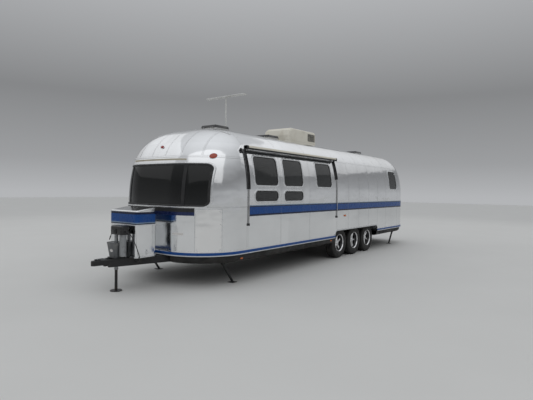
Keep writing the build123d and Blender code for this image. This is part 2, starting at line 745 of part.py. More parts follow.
# Jack cable: from the head's street end down past the cover's edge and in to the rail's outer face
cable_side = COVER[1] + CABLE_SIDE
cable_place, cable_height = CABLE_END
rail_lean = math.atan2(RAIL_SPREAD - FRAME_NOSE, FRAME_SPLAY - COUPLER_START)
rail_face = rail_place(cable_place) + RAIL_WIDTH / 2
last_run = (cable_side - rail_face) / math.cos(rail_lean)
cable_points = [
    Vector(head_right, JACK_Y, head_foot + CABLE_LIFT),
    Vector(head_right + 55, JACK_Y, head_foot + CABLE_LIFT),
    Vector(cable_side - 6, JACK_Y + 30, head_foot - 30),
    Vector(cable_side, JACK_Y + 75, head_foot - 130),
    Vector(cable_side + 4, JACK_Y + 125, head_foot - 245),
    Vector(cable_side + 4, JACK_Y + 160, head_foot - 350),
    Vector(cable_side, along(cable_place) - last_run * math.sin(rail_lean), cable_height),
    Vector(rail_face, along(cable_place), cable_height),
]
cable_radii = []
for before, corner, after in zip(cable_points, cable_points[1:], cable_points[2:]):
    turn = math.radians((corner - before).get_angle(after - corner))
    shorter = min((corner - before).length, (after - corner).length)
    cable_radii.append(0.45 * shorter / math.tan(turn / 2))
print("cable radii", [round(radius, 1) for radius in cable_radii])
with BuildPart() as jack_cable:
    with BuildLine() as cable_path:
        FilletPolyline(*cable_points, radius=cable_radii)
    with BuildSketch(Plane(cable_points[0], z_dir=cable_points[1] - cable_points[0])):
        Circle(CABLE_RADIUS)
    sweep(path=cable_path.wire())
jack_cable.part.label = "jack_cable"
export_step(jack_cable.part, "parts/jack_cable.step")

# Gas bottles on their tray, and the cover over them
with BuildPart() as gas_bottles:
    for x in (-BOTTLE_SPREAD, BOTTLE_SPREAD):
        place = Plane((x, along(BOTTLE_PLACE), TRAY_TOP), x_dir=(1, 0, 0), z_dir=(0, -1, 0))
        ring_in, ring_out, foot_in, foot_out = BOTTLE_FOOT
        body_low, body_high = BOTTLE_BODY
        collar_in, collar_out, collar_foot, collar_top = BOTTLE_COLLAR
        with BuildSketch(place):
            with BuildLine():
                Polyline((0, foot_in), (ring_in, foot_in), (ring_in, 0), (ring_out, 0), (ring_out, foot_out))
                bulge = (ring_out + BOTTLE_RADIUS) / 2 + BOTTLE_BULGE
                under = (bulge, (foot_out + body_low) / 2)
                ThreePointArc((ring_out, foot_out), under, (BOTTLE_RADIUS, body_low))
                Line((BOTTLE_RADIUS, body_low), (BOTTLE_RADIUS, body_high))
                bulge = (collar_out + BOTTLE_RADIUS) / 2 + BOTTLE_BULGE
                shoulder = (bulge, (body_high + collar_foot) / 2 + BOTTLE_BULGE)
                ThreePointArc((BOTTLE_RADIUS, body_high), shoulder, (collar_out, collar_foot))
                Polyline(
                    (collar_out, collar_foot),
                    (collar_out, collar_top),
                    (collar_in, collar_top),
                    (collar_in, collar_foot + COLLAR_FLOOR),
                    (0, collar_foot + COLLAR_FLOOR),
                    (0, foot_in),
                )
            make_face()
        revolve(axis=Axis((x, along(BOTTLE_PLACE), 0), (0, 0, 1)))
gas_bottles.part.label = "gas_bottles"
export_step(gas_bottles.part, "parts/gas_bottles.step")

with BuildPart() as bottle_cover:
    with BuildSketch(Plane((0, along((COVER[2] + COVER[3]) / 2), TRAY_TOP))):
        RectangleRounded(COVER[1] - COVER[0], COVER[3] - COVER[2], COVER_CORNER)
    extrude(amount=COVER_TOP - TRAY_TOP)
    with BuildSketch(side_plane(1).offset(COVER[0] - OVERCUT)) as wedge:
        with BuildLine():
            front, back, over = along(COVER[2]) - OVERCUT, along(COVER[3]) + OVERCUT, COVER_TOP + OUTSIDE
            Polyline((front, COVER_FRONT_TOP), (back, COVER_TOP), (back, over), (front, over), close=True)
        make_face()
    extrude(wedge.sketch, amount=COVER[1] - COVER[0] + 2 * OVERCUT, mode=Mode.SUBTRACT)
    fillet(bottle_cover.faces().sort_by(Axis.Z)[-1].edges(), COVER_EDGE)
    offset(amount=-COVER_SHEET, openings=bottle_cover.faces().sort_by(Axis.Z)[0])
bottle_cover.part.label = "bottle_cover"
export_step(bottle_cover.part, "parts/bottle_cover.step")

# Window glass
with BuildPart() as front_panes:
    for left, right in FRONT_PANES:
        end_prism(-1, (left, right, *FRONT_WINDOW[2:]), 0, PANE_CORNER, Mode.ADD)

with BuildPart() as rear_pane:
    end_prism(1, REAR_WINDOW, mode=Mode.ADD)

with BuildPart() as side_panes:
    for side, windows in ((1, STREET_WINDOWS), (-1, CURB_WINDOWS)):
        for window in windows:
            side_prism(side, window, mode=Mode.ADD)

for name, panes in (("front_glass", front_panes), ("rear_glass", rear_pane), ("side_glass", side_panes)):
    with BuildPart() as glass:
        add(glass_skin.part)
        add(panes.part, mode=Mode.INTERSECT)
    save(glass.part, name)

# Window frames, each a ring of the skin between the glass and the wall
with BuildPart() as frame_rings:
    end_prism(-1, FRONT_WINDOW, FRAME_WIDTH, mode=Mode.ADD)
    end_prism(1, REAR_WINDOW, FRAME_WIDTH, mode=Mode.ADD)
    for side, windows in ((1, STREET_WINDOWS), (-1, CURB_WINDOWS)):
        for window in windows:
            side_prism(side, window, FRAME_WIDTH, mode=Mode.ADD)
    for panes in (front_panes, rear_pane, side_panes):
        add(panes.part, mode=Mode.SUBTRACT)

with BuildPart() as window_frames:
    add(frame_skin.part)
    add(frame_rings.part, mode=Mode.INTERSECT)
window_frames.part.label = "window_frames"
export_step(window_frames.part, "parts/window_frames.step")

# Stone guards over the lower front corners
with BuildPart() as guard_zone:
    for side in (1, -1):
        near, far = sorted((side * GUARD_START, side * HALF))
        block((near, along(-OUTSIDE), FLOOR_TOP), (far, along(GUARD_END), GUARD_TOP))

with BuildPart() as stone_guards:
    add(hull(-GUARD_SHEET))
    add(outer_hull, mode=Mode.SUBTRACT)
    add(guard_zone.part, mode=Mode.INTERSECT)
stone_guards.part.label = "stone_guards"
export_step(stone_guards.part, "parts/stone_guards.step")

# Rub rail round the floor's edge
with BuildPart() as rub_rail:
    with BuildSketch(Plane((0, MID_Y, FLOOR_BOTTOM))):
        outline(-RAIL_PROUD, -RAIL_PROUD, -RAIL_PROUD)
    extrude(amount=FLOOR_TOP - FLOOR_BOTTOM)
    chamfer(rub_rail.faces().filter_by(Plane.XY).edges(), RAIL_BEVEL)
    with BuildSketch(Plane((0, MID_Y, FLOOR_BOTTOM))):
        outline(FLOOR_INSET, FLOOR_INSET)
    extrude(amount=FLOOR_TOP - FLOOR_BOTTOM, mode=Mode.SUBTRACT)
    block((-HALF, along(WELL_START), 0), (HALF, along(WELL_END), WELL_TOP), mode=Mode.SUBTRACT)
rub_rail.part.label = "rub_rail"
export_step(rub_rail.part, "parts/rub_rail.step")

# Rear bumper
with BuildPart() as rear_bumper:
    half, bottom, top, corner = BUMPER
    block((-half, along(BUMPER_START), bottom), (half, along(BODY_LENGTH + BUMPER_REACH), top))
    fillet(rear_bumper.edges().filter_by(Axis.Z).group_by(Axis.Y)[-1], corner)
rear_bumper.part.label = "rear_bumper"
export_step(rear_bumper.part, "parts/rear_bumper.step")

# Tail lamps, bent round the rear corners
with BuildPart() as lamp_zone:
    for side in (1, -1):
        near, far = sorted((side * TAIL_LAMP[0], side * TAIL_LAMP[1]))
        end_prism(1, (near, far, *TAIL_LAMP[2:]), 0, LAMP_CORNER, Mode.ADD)

with BuildPart() as tail_lamps:
    add(hull(-LAMP_PROUD))
    add(outer_hull, mode=Mode.SUBTRACT)
    add(lamp_zone.part, mode=Mode.INTERSECT)
tail_lamps.part.label = "tail_lamps"
export_step(tail_lamps.part, "parts/tail_lamps.step")

# Entry door, its free edge turned about the hinge pins so that it clears the wall as it swings
with BuildPart() as entry_door:
    add(shell.part)
    side_prism(-1, door_window, 0, DOOR_CORNER, Mode.INTERSECT)
    with Locations((-HINGE_X, HINGE_Y, (DOOR_BOTTOM + DOOR_TOP) / 2)):
        Cylinder(along(DOOR_END + DOOR_GAP) - HINGE_Y - DOOR_SWING_GAP, BODY_WIDTH, mode=Mode.INTERSECT)
    side_prism(-1, DOOR_GLASS)
    hinge_leaves(1)
    width, height, thickness = DOOR_HANDLE
    with BuildSketch(side_plane(-1).offset(BODY_WIDTH / 2)):
        with Locations((-along(DOOR_END - HANDLE_PLACE[0]), HANDLE_PLACE[1])):
            RectangleRounded(width, height, HANDLE_CORNER)
    extrude(amount=thickness)
entry_door.part.label = "entry_door"
export_step(entry_door.part, "parts/entry_door.step")

with BuildPart() as door_pane:
    side_prism(-1, DOOR_GLASS, mode=Mode.ADD)

with BuildPart() as entry_door_glass:
    add(glass_skin.part)
    add(door_pane.part, mode=Mode.INTERSECT)
entry_door_glass.part.label = "entry_door_glass"
export_step(entry_door_glass.part, "parts/entry_door_glass.step")

# Rear locker door
with BuildPart() as locker_zone:
    end_prism(1, LOCKER, 0, LOCKER_CORNER, Mode.ADD)

with BuildPart() as rear_locker_door:
    add(shell.part)
    add(locker_zone.part, mode=Mode.INTERSECT)
    locker_hinges(-1)
rear_locker_door.part.label = "rear_locker_door"
export_step(rear_locker_door.part, "parts/rear_locker_door.step")

# Torsion axles: square tubes, trailing arms, spindles and backing plates
AXLE_PLACES = [AXLE_FIRST + AXLE_SPACING * i for i in range(AXLE_COUNT)]
PAD_WIDTH, PAD_LENGTH, PAD_SHEET = AXLE_PAD
TUBE_HEIGHT = PAN_BOTTOM - PAD_SHEET - AXLE_TUBE / 2
with BuildPart() as axles:
    for place in AXLE_PLACES:
        tube_y = along(place - ARM_REACH)
        half = AXLE_TUBE / 2
        block((-ARM_PLANE, tube_y - half, TUBE_HEIGHT - half), (ARM_PLANE, tube_y + half, TUBE_HEIGHT + half))
        for side in (1, -1):
            with Locations((side * RAIL_SPREAD, tube_y, PAN_BOTTOM - PAD_SHEET / 2)):
                Box(PAD_WIDTH, PAD_LENGTH, PAD_SHEET)
            with BuildSketch(side_plane(side).offset(ARM_PLANE)):
                with Locations((side * tube_y, TUBE_HEIGHT)):
                    Circle(ARM_ENDS[0])
                with Locations((side * along(place), WHEEL_RADIUS)):
                    Circle(ARM_ENDS[1])
                make_hull()
            extrude(amount=ARM_THICKNESS)
            with BuildSketch(side_plane(side).offset(ARM_PLANE + ARM_THICKNESS)):
                with Locations((side * along(place), WHEEL_RADIUS)):
                    Circle(SPINDLE_RADIUS)
            extrude(amount=WHEEL_PLANE + SPINDLE_END - ARM_PLANE - ARM_THICKNESS)
            with BuildSketch(side_plane(side).offset(WHEEL_PLANE + PLATE_PLACE)):
                with Locations((side * along(place), WHEEL_RADIUS)):
                    Circle(DRUM_RADIUS)
            extrude(amount=PLATE_SHEET)
axles.part.label = "axles"
export_step(axles.part, "parts/axles.step")


def wheel(name, side, place):
    """A tyre on a five-spoke rim with its brake drum; profiles run outwards from the wheel's middle plane."""
    centre = (side * WHEEL_PLANE, along(place), WHEEL_RADIUS)
    section = Plane(centre, x_dir=(side, 0, 0), z_dir=(0, -side, 0))
    spin = Axis(centre, (1, 0, 0))
    edge, widest = RIM_WIDTH / 2, TYRE_WIDTH / 2
    inner_bead, outer_bead = (-edge, FLANGE_RADIUS), (edge, FLANGE_RADIUS)
    inner_shoulder, outer_shoulder = (-SHOULDER_X, SHOULDER_RADIUS), (SHOULDER_X, SHOULDER_RADIUS)
    with BuildPart() as tyre:
        with BuildSketch(section):
            with BuildLine():
                ThreePointArc(inner_bead, (-widest, SIDEWALL_RADIUS), inner_shoulder)
                ThreePointArc(inner_shoulder, (0, WHEEL_RADIUS), outer_shoulder)
                ThreePointArc(outer_shoulder, (widest, SIDEWALL_RADIUS), outer_bead)
                Polyline(outer_bead, (edge, BEAD_RADIUS), (-edge, BEAD_RADIUS), inner_bead)
            make_face()
        revolve(axis=spin)
    save(tyre.part, f"tyre_{name}")
    with BuildPart() as rim:
        with BuildSketch(section):
            with BuildLine():
                Polyline(
                    (-edge, BEAD_RADIUS),
                    (edge, BEAD_RADIUS),
                    (edge, FLANGE_RADIUS),
                    (edge + FLANGE_SHEET, FLANGE_RADIUS),
                    (edge + FLANGE_SHEET, FLANGE_FOOT),
                    *RIM_FACE,
                    (-edge - FLANGE_SHEET, RIM_BARREL),
                    (-edge - FLANGE_SHEET, FLANGE_RADIUS),
                    (-edge, FLANGE_RADIUS),
                    close=True,
                )
            make_face()
        revolve(axis=spin)
        face = Plane(centre, x_dir=(0, side, 0), z_dir=(side, 0, 0))
        near, near_half, far, far_half = RIM_WINDOW
        with BuildSketch(face.offset(edge)) as windows:
            with PolarLocations(0, SPOKES, start_angle=90):
                with BuildLine():
                    corners = ((near, -near_half), (near, near_half), (far, far_half), (far, -far_half))
                    Polyline(*corners, close=True)
                make_face()
            fillet(windows.vertices(), WINDOW_CORNER)
        extrude(amount=DISC_BACK - OVERCUT - edge, mode=Mode.SUBTRACT)
        with BuildSketch(face.offset(DRUM_PLACE)):
            Circle(DRUM_RADIUS)
        extrude(amount=DISC_BACK - DRUM_PLACE)
        with BuildSketch(face.offset(DRUM_PLACE)):
            Circle(SPINDLE_RADIUS + SPINDLE_CLEARANCE)
        extrude(amount=SPINDLE_END + SPINDLE_ROOM - DRUM_PLACE, mode=Mode.SUBTRACT)
    save(rim.part, f"rim_{name}")


for i, place in enumerate(AXLE_PLACES):
    wheel(f"street_{i + 1}", 1, place)
    wheel(f"curb_{i + 1}", -1, place)

# Stabiliser legs, and under the belly their brackets and the step's guides
for name, side, place, way in STABILISERS:
    foot_y = along(place + way * LEG_RUN)
    with BuildPart() as leg:
        with BuildSketch(side_plane(side).offset(LEG_PLANE - LEG_WIDTH / 2)):
            with Locations((side * along(place), LEG_PIVOT)):
                Circle(LEG_WIDTH / 2)
            with Locations((side * foot_y, FOOT_GAP + FOOT_SHEET + TOE_RADIUS)):
                Circle(TOE_RADIUS)
            make_hull()
        extrude(amount=LEG_WIDTH)
        foot_height = FOOT_SHEET + FOOT_SINK
        with Locations((side * LEG_PLANE, foot_y, FOOT_GAP + foot_height / 2)):
            Box(FOOT_SIZE, FOOT_SIZE, foot_height)
        with BuildSketch(side_plane(side).offset(LEG_PLANE - LEG_WIDTH)):
            with Locations((side * along(place), LEG_PIVOT)):
                Circle(PIN_RADIUS + PIN_CLEARANCE)
        extrude(amount=2 * LEG_WIDTH, mode=Mode.SUBTRACT)
    save(leg.part, f"stabiliser_{name}")

with BuildPart() as belly_brackets:
    for name, side, place, way in STABILISERS:
        reach = LEG_WIDTH / 2 + EAR_GAP + EAR_SHEET
        middle = side * LEG_PLANE
        with Locations((middle, along(place), PAN_BOTTOM - EAR_SHEET / 2)):
            Box(2 * reach, EAR_PLATE, EAR_SHEET)
        for ear in (-reach, reach - EAR_SHEET):
            with BuildSketch(side_plane(1).offset(middle + ear)):
                with Locations((along(place), LEG_PIVOT)):
                    Circle(EAR_RADIUS)
                with Locations((along(place), PAN_BOTTOM - EAR_SHEET / 2)):
                    Rectangle(EAR_FOOT, EAR_SHEET)
                make_hull()
            extrude(amount=EAR_SHEET)
        with BuildSketch(side_plane(1).offset(middle - reach)):
            with Locations((along(place), LEG_PIVOT)):
                Circle(PIN_RADIUS)
        extrude(amount=2 * reach)
    for edge, way in ((STEP_START, -1), (STEP_END, 1)):
        near, far = sorted((along(edge + way * STEP_GAP), along(edge + way * (STEP_GAP + GUIDE_WIDTH))))
        back = STEP_DEPTH + GUIDE_REACH - STEP_EDGE
        block((-STEP_EDGE, near, STEP_TOP - STEP_SKIRT), (back, far, PAN_BOTTOM))
belly_brackets.part.label = "belly_brackets"
export_step(belly_brackets.part, "parts/belly_brackets.step")

with BuildPart() as slide_step:
    step_foot = STEP_TOP - STEP_SKIRT
    step_back = -STEP_EDGE + STEP_DEPTH
    block((-STEP_EDGE, along(STEP_START), step_foot), (step_back, along(STEP_END), STEP_TOP))
    fillet(slide_step.edges().filter_by(Axis.Z), STEP_CORNER)
    offset(amount=-STEP_SHEET, openings=slide_step.faces().sort_by(Axis.Z)[0])
slide_step.part.label = "slide_step"
export_step(slide_step.part, "parts/slide_step.step")

# Air conditioner on the roof
with BuildPart() as air_conditioner:
    start, end, height = CONDITIONER
    brow, lean, top_start, drop = CONDITIONER_NOSE
    foot, top = ROOF_TOP - ROOF_SINK, ROOF_TOP + height
    with BuildSketch(side_plane(1).offset(-CONDITIONER_WIDTH / 2)):
        with BuildLine():
            Polyline(
                (along(start), foot),
                (along(start), ROOF_TOP + brow),
                (along(start + lean), top - drop),
                (along(start + top_start), top),
                (along(end - drop), top),
                (along(end), top - drop),
                (along(end), foot),
                close=True,
            )
        make_face()
    extrude(amount=CONDITIONER_WIDTH)
    shroud_edges = air_conditioner.edges().filter_by(Plane.YZ)
    fillet(shroud_edges.filter_by(lambda e: e.center().Z > ROOF_TOP + ROOF_SINK), CONDITIONER_CORNER)
    add(outer_hull, mode=Mode.SUBTRACT)
air_conditioner.part.label = "air_conditioner"
export_step(air_conditioner.part, "parts/air_conditioner.step")

# Vent collars with their hinge ears, and the antenna's base
LID_HINGE_HEIGHT = COLLAR_TOP + LID_GAP
with BuildPart() as roof_fittings:
    for _, start, end in VENTS:
        reach = (end - start) / 2
        middle = along((start + end) / 2)
        block((-reach, middle - reach, ROOF_TOP - ROOF_SINK), (reach, middle + reach, COLLAR_TOP))
        hinge_y = along(start - LID_OVERHANG - LID_HINGE_STAND)
        for place in LID_HINGES:
            for way in (-1, 1):
                shift = way * (LID_BARREL / 2 + KNUCKLE_GAP + LID_EAR / 2)
                left, right = place + shift - LID_EAR / 2, place + shift + LID_EAR / 2
                ear_front, ear_back = hinge_y - LID_HINGE_RADIUS, hinge_y + LID_HINGE_RADIUS
                ear_foot = COLLAR_TOP - LID_EAR
                block((left, ear_front, ear_foot), (right, along(start) + OVERCUT, COLLAR_TOP - EAR_STEP))
                block((left, ear_front, ear_foot), (right, ear_back, LID_HINGE_HEIGHT))
                with Locations(Location((place + shift, hinge_y, LID_HINGE_HEIGHT), (0, 90, 0))):
                    Cylinder(LID_HINGE_RADIUS, LID_EAR)
    half, length, height = MAST_BASE
    place = along(MAST_PLACE)
    block((-half, place - length, ROOF_TOP - ROOF_SINK), (half, place + length, ROOF_TOP + height))
    for ear in (-1, 1):
        near, far = sorted((ear * (MAST_RADIUS + EAR_GAP), ear * (MAST_RADIUS + EAR_GAP + EAR_SHEET)))
        block((near, place - MAST_EAR[0], ROOF_TOP), (far, place + MAST_EAR[0], MAST_PIVOT + MAST_EAR[1]))
    with BuildSketch(side_plane(1).offset(-MAST_RADIUS - EAR_GAP)):
        with Locations((along(MAST_PLACE), MAST_PIVOT)):
            Circle(PIN_RADIUS)
    extrude(amount=2 * (MAST_RADIUS + EAR_GAP))
    add(outer_hull, mode=Mode.SUBTRACT)
    for _, start, end in VENTS:
        reach = (end - start) / 2 - COLLAR_SHEET
        middle = along((start + end) / 2)
        block((-reach, middle - reach, ROOF_SEAM), (reach, middle + reach, SKY), mode=Mode.SUBTRACT)
roof_fittings.part.label = "roof_fittings"
export_step(roof_fittings.part, "parts/roof_fittings.step")

# Vent lids, hinged at their front edges
for name, start, end in VENTS:
    size = end - start + 2 * LID_OVERHANG
    with BuildPart() as lid:
        with BuildSketch(Plane((0, along((start + end) / 2), COLLAR_TOP + LID_GAP))):
            RectangleRounded(size, size, LID_CORNER)
        extrude(amount=LID_HEIGHT, taper=LID_TAPER)
        fillet(lid.faces().sort_by(Axis.Z)[-1].edges(), LID_CORNER / 3)
        offset(amount=-LID_SHEET, openings=lid.faces().sort_by(Axis.Z)[0])
        edge = along(start - LID_OVERHANG)
        for place in LID_HINGES:
            with Locations(Location((place, edge - LID_HINGE_STAND, LID_HINGE_HEIGHT), (0, 90, 0))):
                Cylinder(LID_HINGE_RADIUS, LID_BARREL)
            left, right = place - LID_BARREL / 2, place + LID_BARREL / 2
            block(
                (left, edge - LID_HINGE_STAND, LID_HINGE_HEIGHT),
                (right, edge + LID_SHEET, LID_HINGE_HEIGHT + LEAF_THICKNESS),
            )
    save(lid.part, f"vent_lid_{name}")

# Antenna: a mast that folds back along the roof, with a flat head across it
with BuildPart() as antenna:
    with Locations((0, along(MAST_PLACE), MAST_PIVOT)):
        Cylinder(MAST_RADIUS, MAST_TOP - MAST_PIVOT, align=(Align.CENTER, Align.CENTER, Align.MIN))
        Sphere(MAST_RADIUS)
    span, head_depth, head_height = ANTENNA_HEAD
    with BuildSketch(side_plane(1).offset(-span / 2)):
        with Locations((along(MAST_PLACE), MAST_TOP)):
            Ellipse(head_depth, head_height)
    extrude(amount=span)
    with BuildSketch(side_plane(1).offset(-MAST_RADIUS - OVERCUT)):
        with Locations((along(MAST_PLACE), MAST_PIVOT)):
            Circle(PIN_RADIUS + PIN_CLEARANCE)
    extrude(amount=2 * (MAST_RADIUS + OVERCUT), mode=Mode.SUBTRACT)
antenna.part.label = "antenna"
export_step(antenna.part, "parts/antenna.step")

# Awnings: a rolled sheet between two brackets, on arms that follow the wall
with BuildPart() as arm_skin:
    add(hull(-ARM_PROUD))
    add(outer_hull, mode=Mode.SUBTRACT)

for name, side, start, end in AWNINGS:
    with BuildPart() as arm_zone:
        for place in (start + ARM_INSET, end - ARM_INSET):
            near, far = sorted((side * WELL_INNER, side * HALF))
            low, high = ARM_FOOT, ROLLER_HEIGHT - ARM_TOP_DROP
            block((near, along(place) - ARM_WIDTH / 2, low), (far, along(place) + ARM_WIDTH / 2, high))
    with BuildPart() as awning:
        add(arm_skin.part)
        add(arm_zone.part, mode=Mode.INTERSECT)
        way_in, way_out, rise, length = CRADLE
        for place in (start, end - length):
            near, far = sorted((side * (ROLLER_PLANE - way_in), side * (ROLLER_PLANE + way_out)))
            low, high = ROLLER_HEIGHT - rise, ROLLER_HEIGHT + rise
            block((near, along(place), low), (far, along(place + length), high))
        roller_start = (side * ROLLER_PLANE, along(start), ROLLER_HEIGHT)
        with BuildSketch(Plane(roller_start, x_dir=(1, 0, 0), z_dir=(0, 1, 0))):
            Circle(ROLLER_RADIUS)
        extrude(amount=end - start)
    save(awning.part, name)
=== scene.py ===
import math

import bmesh
import bpy
import numpy as np
from mathutils import Matrix, Vector


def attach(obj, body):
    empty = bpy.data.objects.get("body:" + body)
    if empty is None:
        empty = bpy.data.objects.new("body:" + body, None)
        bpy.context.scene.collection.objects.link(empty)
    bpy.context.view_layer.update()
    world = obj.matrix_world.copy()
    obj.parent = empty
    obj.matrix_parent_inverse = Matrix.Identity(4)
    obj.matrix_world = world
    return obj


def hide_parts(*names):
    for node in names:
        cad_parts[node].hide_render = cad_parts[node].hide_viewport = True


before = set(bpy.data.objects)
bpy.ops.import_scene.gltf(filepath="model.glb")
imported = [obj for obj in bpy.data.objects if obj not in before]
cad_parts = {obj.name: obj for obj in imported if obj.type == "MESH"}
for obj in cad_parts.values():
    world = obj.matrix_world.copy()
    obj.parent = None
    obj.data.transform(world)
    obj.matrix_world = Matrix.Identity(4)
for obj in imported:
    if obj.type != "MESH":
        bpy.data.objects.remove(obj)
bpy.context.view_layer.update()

# The body's form, in metres: rounded plans whose insets follow three tangent arcs
WIDTH = 2.440
LENGTH = 9.250
FRONT = -4.110
REAR = FRONT + LENGTH
MIDDLE = (FRONT + REAR) / 2
WALL = 0.045
FLOOR_TOP = 0.575
PLAN_CORNER = 0.850
CORNER_TIGHTENING = 0.68
SIDE_FOOT = 1.550
SIDE_BENDS = ((2.200, 18.0), (0.600, 74.3))
END_FOOT = 1.324
END_BENDS = ((3.080, 12.2), (0.850, 74.0))
CAP_LENGTH = 1.030
CAP_FRONT = FRONT + CAP_LENGTH
CAP_REAR = REAR - CAP_LENGTH
ROOF_SEAM = 2.275

# Openings, as in the CAD model
FRAME_WIDTH = 0.042
GLASS_CORNER = 0.070
UPPER = (1.678, 2.172)
LOWER = (1.395, 1.569)
STREET_WINDOWS = (
    (1.235, 1.915, *UPPER),
    (1.235, 1.915, *LOWER),
    (2.136, 2.795, *UPPER),
    (2.136, 2.795, *LOWER),
    (3.368, 4.019, *UPPER),
    (7.587, 8.136, *UPPER),
)
CURB_WINDOWS = (
    (1.235, 1.915, *UPPER),
    (2.136, 2.795, *UPPER),
    (4.300, 4.950, *UPPER),
    (5.900, 6.550, *UPPER),
    (7.587, 8.136, *UPPER),
)
FRONT_WINDOW = (-1.005, 1.005, 1.330, 1.977)
FRONT_PANES = ((-1.005, -0.690), (-0.650, 0.650), (0.690, 1.005))
PANE_CORNER = 0.030
REAR_WINDOW = (-0.620, 0.620, 1.500, 2.000)
DOOR = (3.060, 3.740, 0.600, 2.140)
DOOR_GAP = 0.008
DOOR_CORNER = 0.120
DOOR_GLASS = (3.200, 3.600, 1.560, 1.960)
LOCKER = (-0.520, 0.520, 0.650, 1.060)
LOCKER_GAP = 0.010
LOCKER_CORNER = 0.050
WELL = (4.220, 6.720)
OPENING_TOP = 0.680
OPENING_CORNER = 0.110
VENTS = (("front", 1.300, 1.690), ("middle", 2.990, 3.380), ("rear", 7.470, 7.860))
BELT = (1.132, 1.328)


def arc_chain(foot, bends, depth):
    """Centre inset, centre height, radius and end angle of each tangent arc, this deep in the wall."""
    inset, height, angle = 0.0, foot, 0.0
    chain = []
    for radius, end in bends:
        centre_inset = inset + radius * math.cos(angle)
        centre_height = height - radius * math.sin(angle)
        angle = math.radians(end)
        inset = centre_inset - radius * math.cos(angle)
        height = centre_height + radius * math.sin(angle)
        chain.append((centre_inset, centre_height, radius - depth, angle))
    return chain


def last_bend(foot, bends):
    """Inset, height and angle where a chain of arcs ends."""
    centre_inset, centre_height, radius, angle = arc_chain(foot, bends, 0)[-1]
    return centre_inset - radius * math.cos(angle), centre_height + radius * math.sin(angle), angle


crown_inset, crown_foot, crown_angle = last_bend(SIDE_FOOT, SIDE_BENDS)
CROWN_RADIUS = (WIDTH / 2 - crown_inset) / math.cos(crown_angle)
ROOF_TOP = crown_foot + CROWN_RADIUS * (1 - math.sin(crown_angle))
SIDE_ARCS = (*SIDE_BENDS, (CROWN_RADIUS, 90.0))
_, end_foot, end_angle = last_bend(END_FOOT, END_BENDS)
END_ARCS = (*END_BENDS, ((ROOF_TOP - end_foot) / (1 - math.sin(end_angle)), 90.0))


def inset_at(foot, arcs, depth, height):
    """How far the skin at this depth stands inside the outer wall, at an array of heights."""
    result = np.full_like(height, depth)
    low = foot
    for centre_inset, centre_height, radius, end in arc_chain(foot, arcs, depth):
        across = np.sqrt(np.maximum(radius**2 - (height - centre_height) ** 2, 0))
        result = np.where(height > low, centre_inset - across, result)
        low = centre_height + radius * math.sin(end)
    return result


def plan_at(height, depth):
    """Half width, half length and corner radius of the body's plan, at an array of heights."""
    side = inset_at(SIDE_FOOT, SIDE_ARCS, depth, height)
    end = inset_at(END_FOOT, END_ARCS, depth, height)
    half_width = np.maximum(WIDTH / 2 - side, 0)
    corner = PLAN_CORNER - depth - CORNER_TIGHTENING * (side - depth)
    return half_width, LENGTH / 2 - end, np.minimum(corner, 0.995 * half_width)


def distance(points, depth=0.0):
    """Each point's distance outside the body's plan at its own height."""
    half_width, half_length, corner = plan_at(np.minimum(points[:, 2], ROOF_TOP - depth - 1e-6), depth)
    across = np.abs(points[:, 0]) - (half_width - corner)
    along = np.abs(points[:, 1] - MIDDLE) - (half_length - corner)
    outside = np.hypot(np.maximum(across, 0), np.maximum(along, 0))
    return outside + np.minimum(np.maximum(across, along), 0) - corner


def normals_at(points, depth=0.0, step=2e-4):
    """The skin's outward normal at each point."""
    points = np.atleast_2d(np.asarray(points, float))
    gradient = np.zeros_like(points)
    for axis in range(3):
        shift = np.zeros(3)
        shift[axis] = step
        gradient[:, axis] = distance(points + shift, depth) - distance(points - shift, depth)
    gradient[points[:, 2] > ROOF_TOP - depth - 0.003] = (0, 0, 1)
    return gradient / np.maximum(np.linalg.norm(gradient, axis=1), 1e-12)[:, None]


def lifted(points, height):
    """Points moved off the skin by a height."""
    return points + normals_at(points) * np.reshape(height, (-1, 1))


def arrays(*values):
    """Numbers or arrays as arrays of one shape."""
    return np.broadcast_arrays(*(np.asarray(value, float) for value in values))


def corner_drop(beyond, corner):
    """How far a rounded corner falls back, this far past its start."""
    return corner - np.sqrt(np.maximum(corner**2 - np.maximum(beyond, 0) ** 2, 0))


def on_side(side):
    """Maps (distance behind the front, height) to the side's skin, standing out by a height above it."""

    def place(u, v, height=0.0):
        u, v = arrays(u, v)
        half_width, half_length, corner = plan_at(v, 0.0)
        drop = corner_drop(np.abs(FRONT + u - MIDDLE) - (half_length - corner), corner)
        return lifted(np.stack([side * (half_width - drop), FRONT + u, v], -1), height)

    return place


def on_end(end):
    """Maps (across, height) to the front's skin, end -1, or the rear's, end 1."""

    def place(u, v, height=0.0):
        u, v = arrays(u, v)
        half_width, half_length, corner = plan_at(v, 0.0)
        drop = corner_drop(np.abs(u) - (half_width - corner), corner)
        return lifted(np.stack([u, MIDDLE + end * (half_length - drop), v], -1), height)

    return place


def on_roof(u, v, height=0.0):
    """Maps (across, distance behind the front) to the roof's skin."""
    u, v = arrays(u, v)
    low, high = np.full(u.shape, SIDE_FOOT), np.full(u.shape, ROOF_TOP - 1e-6)
    for _ in range(40):
        middle = (low + high) / 2
        inside = distance(np.stack([u, FRONT + v, middle], -1)) < 0
        low, high = np.where(inside, middle, low), np.where(inside, high, middle)
    return lifted(np.stack([u, FRONT + v, low], -1), height)


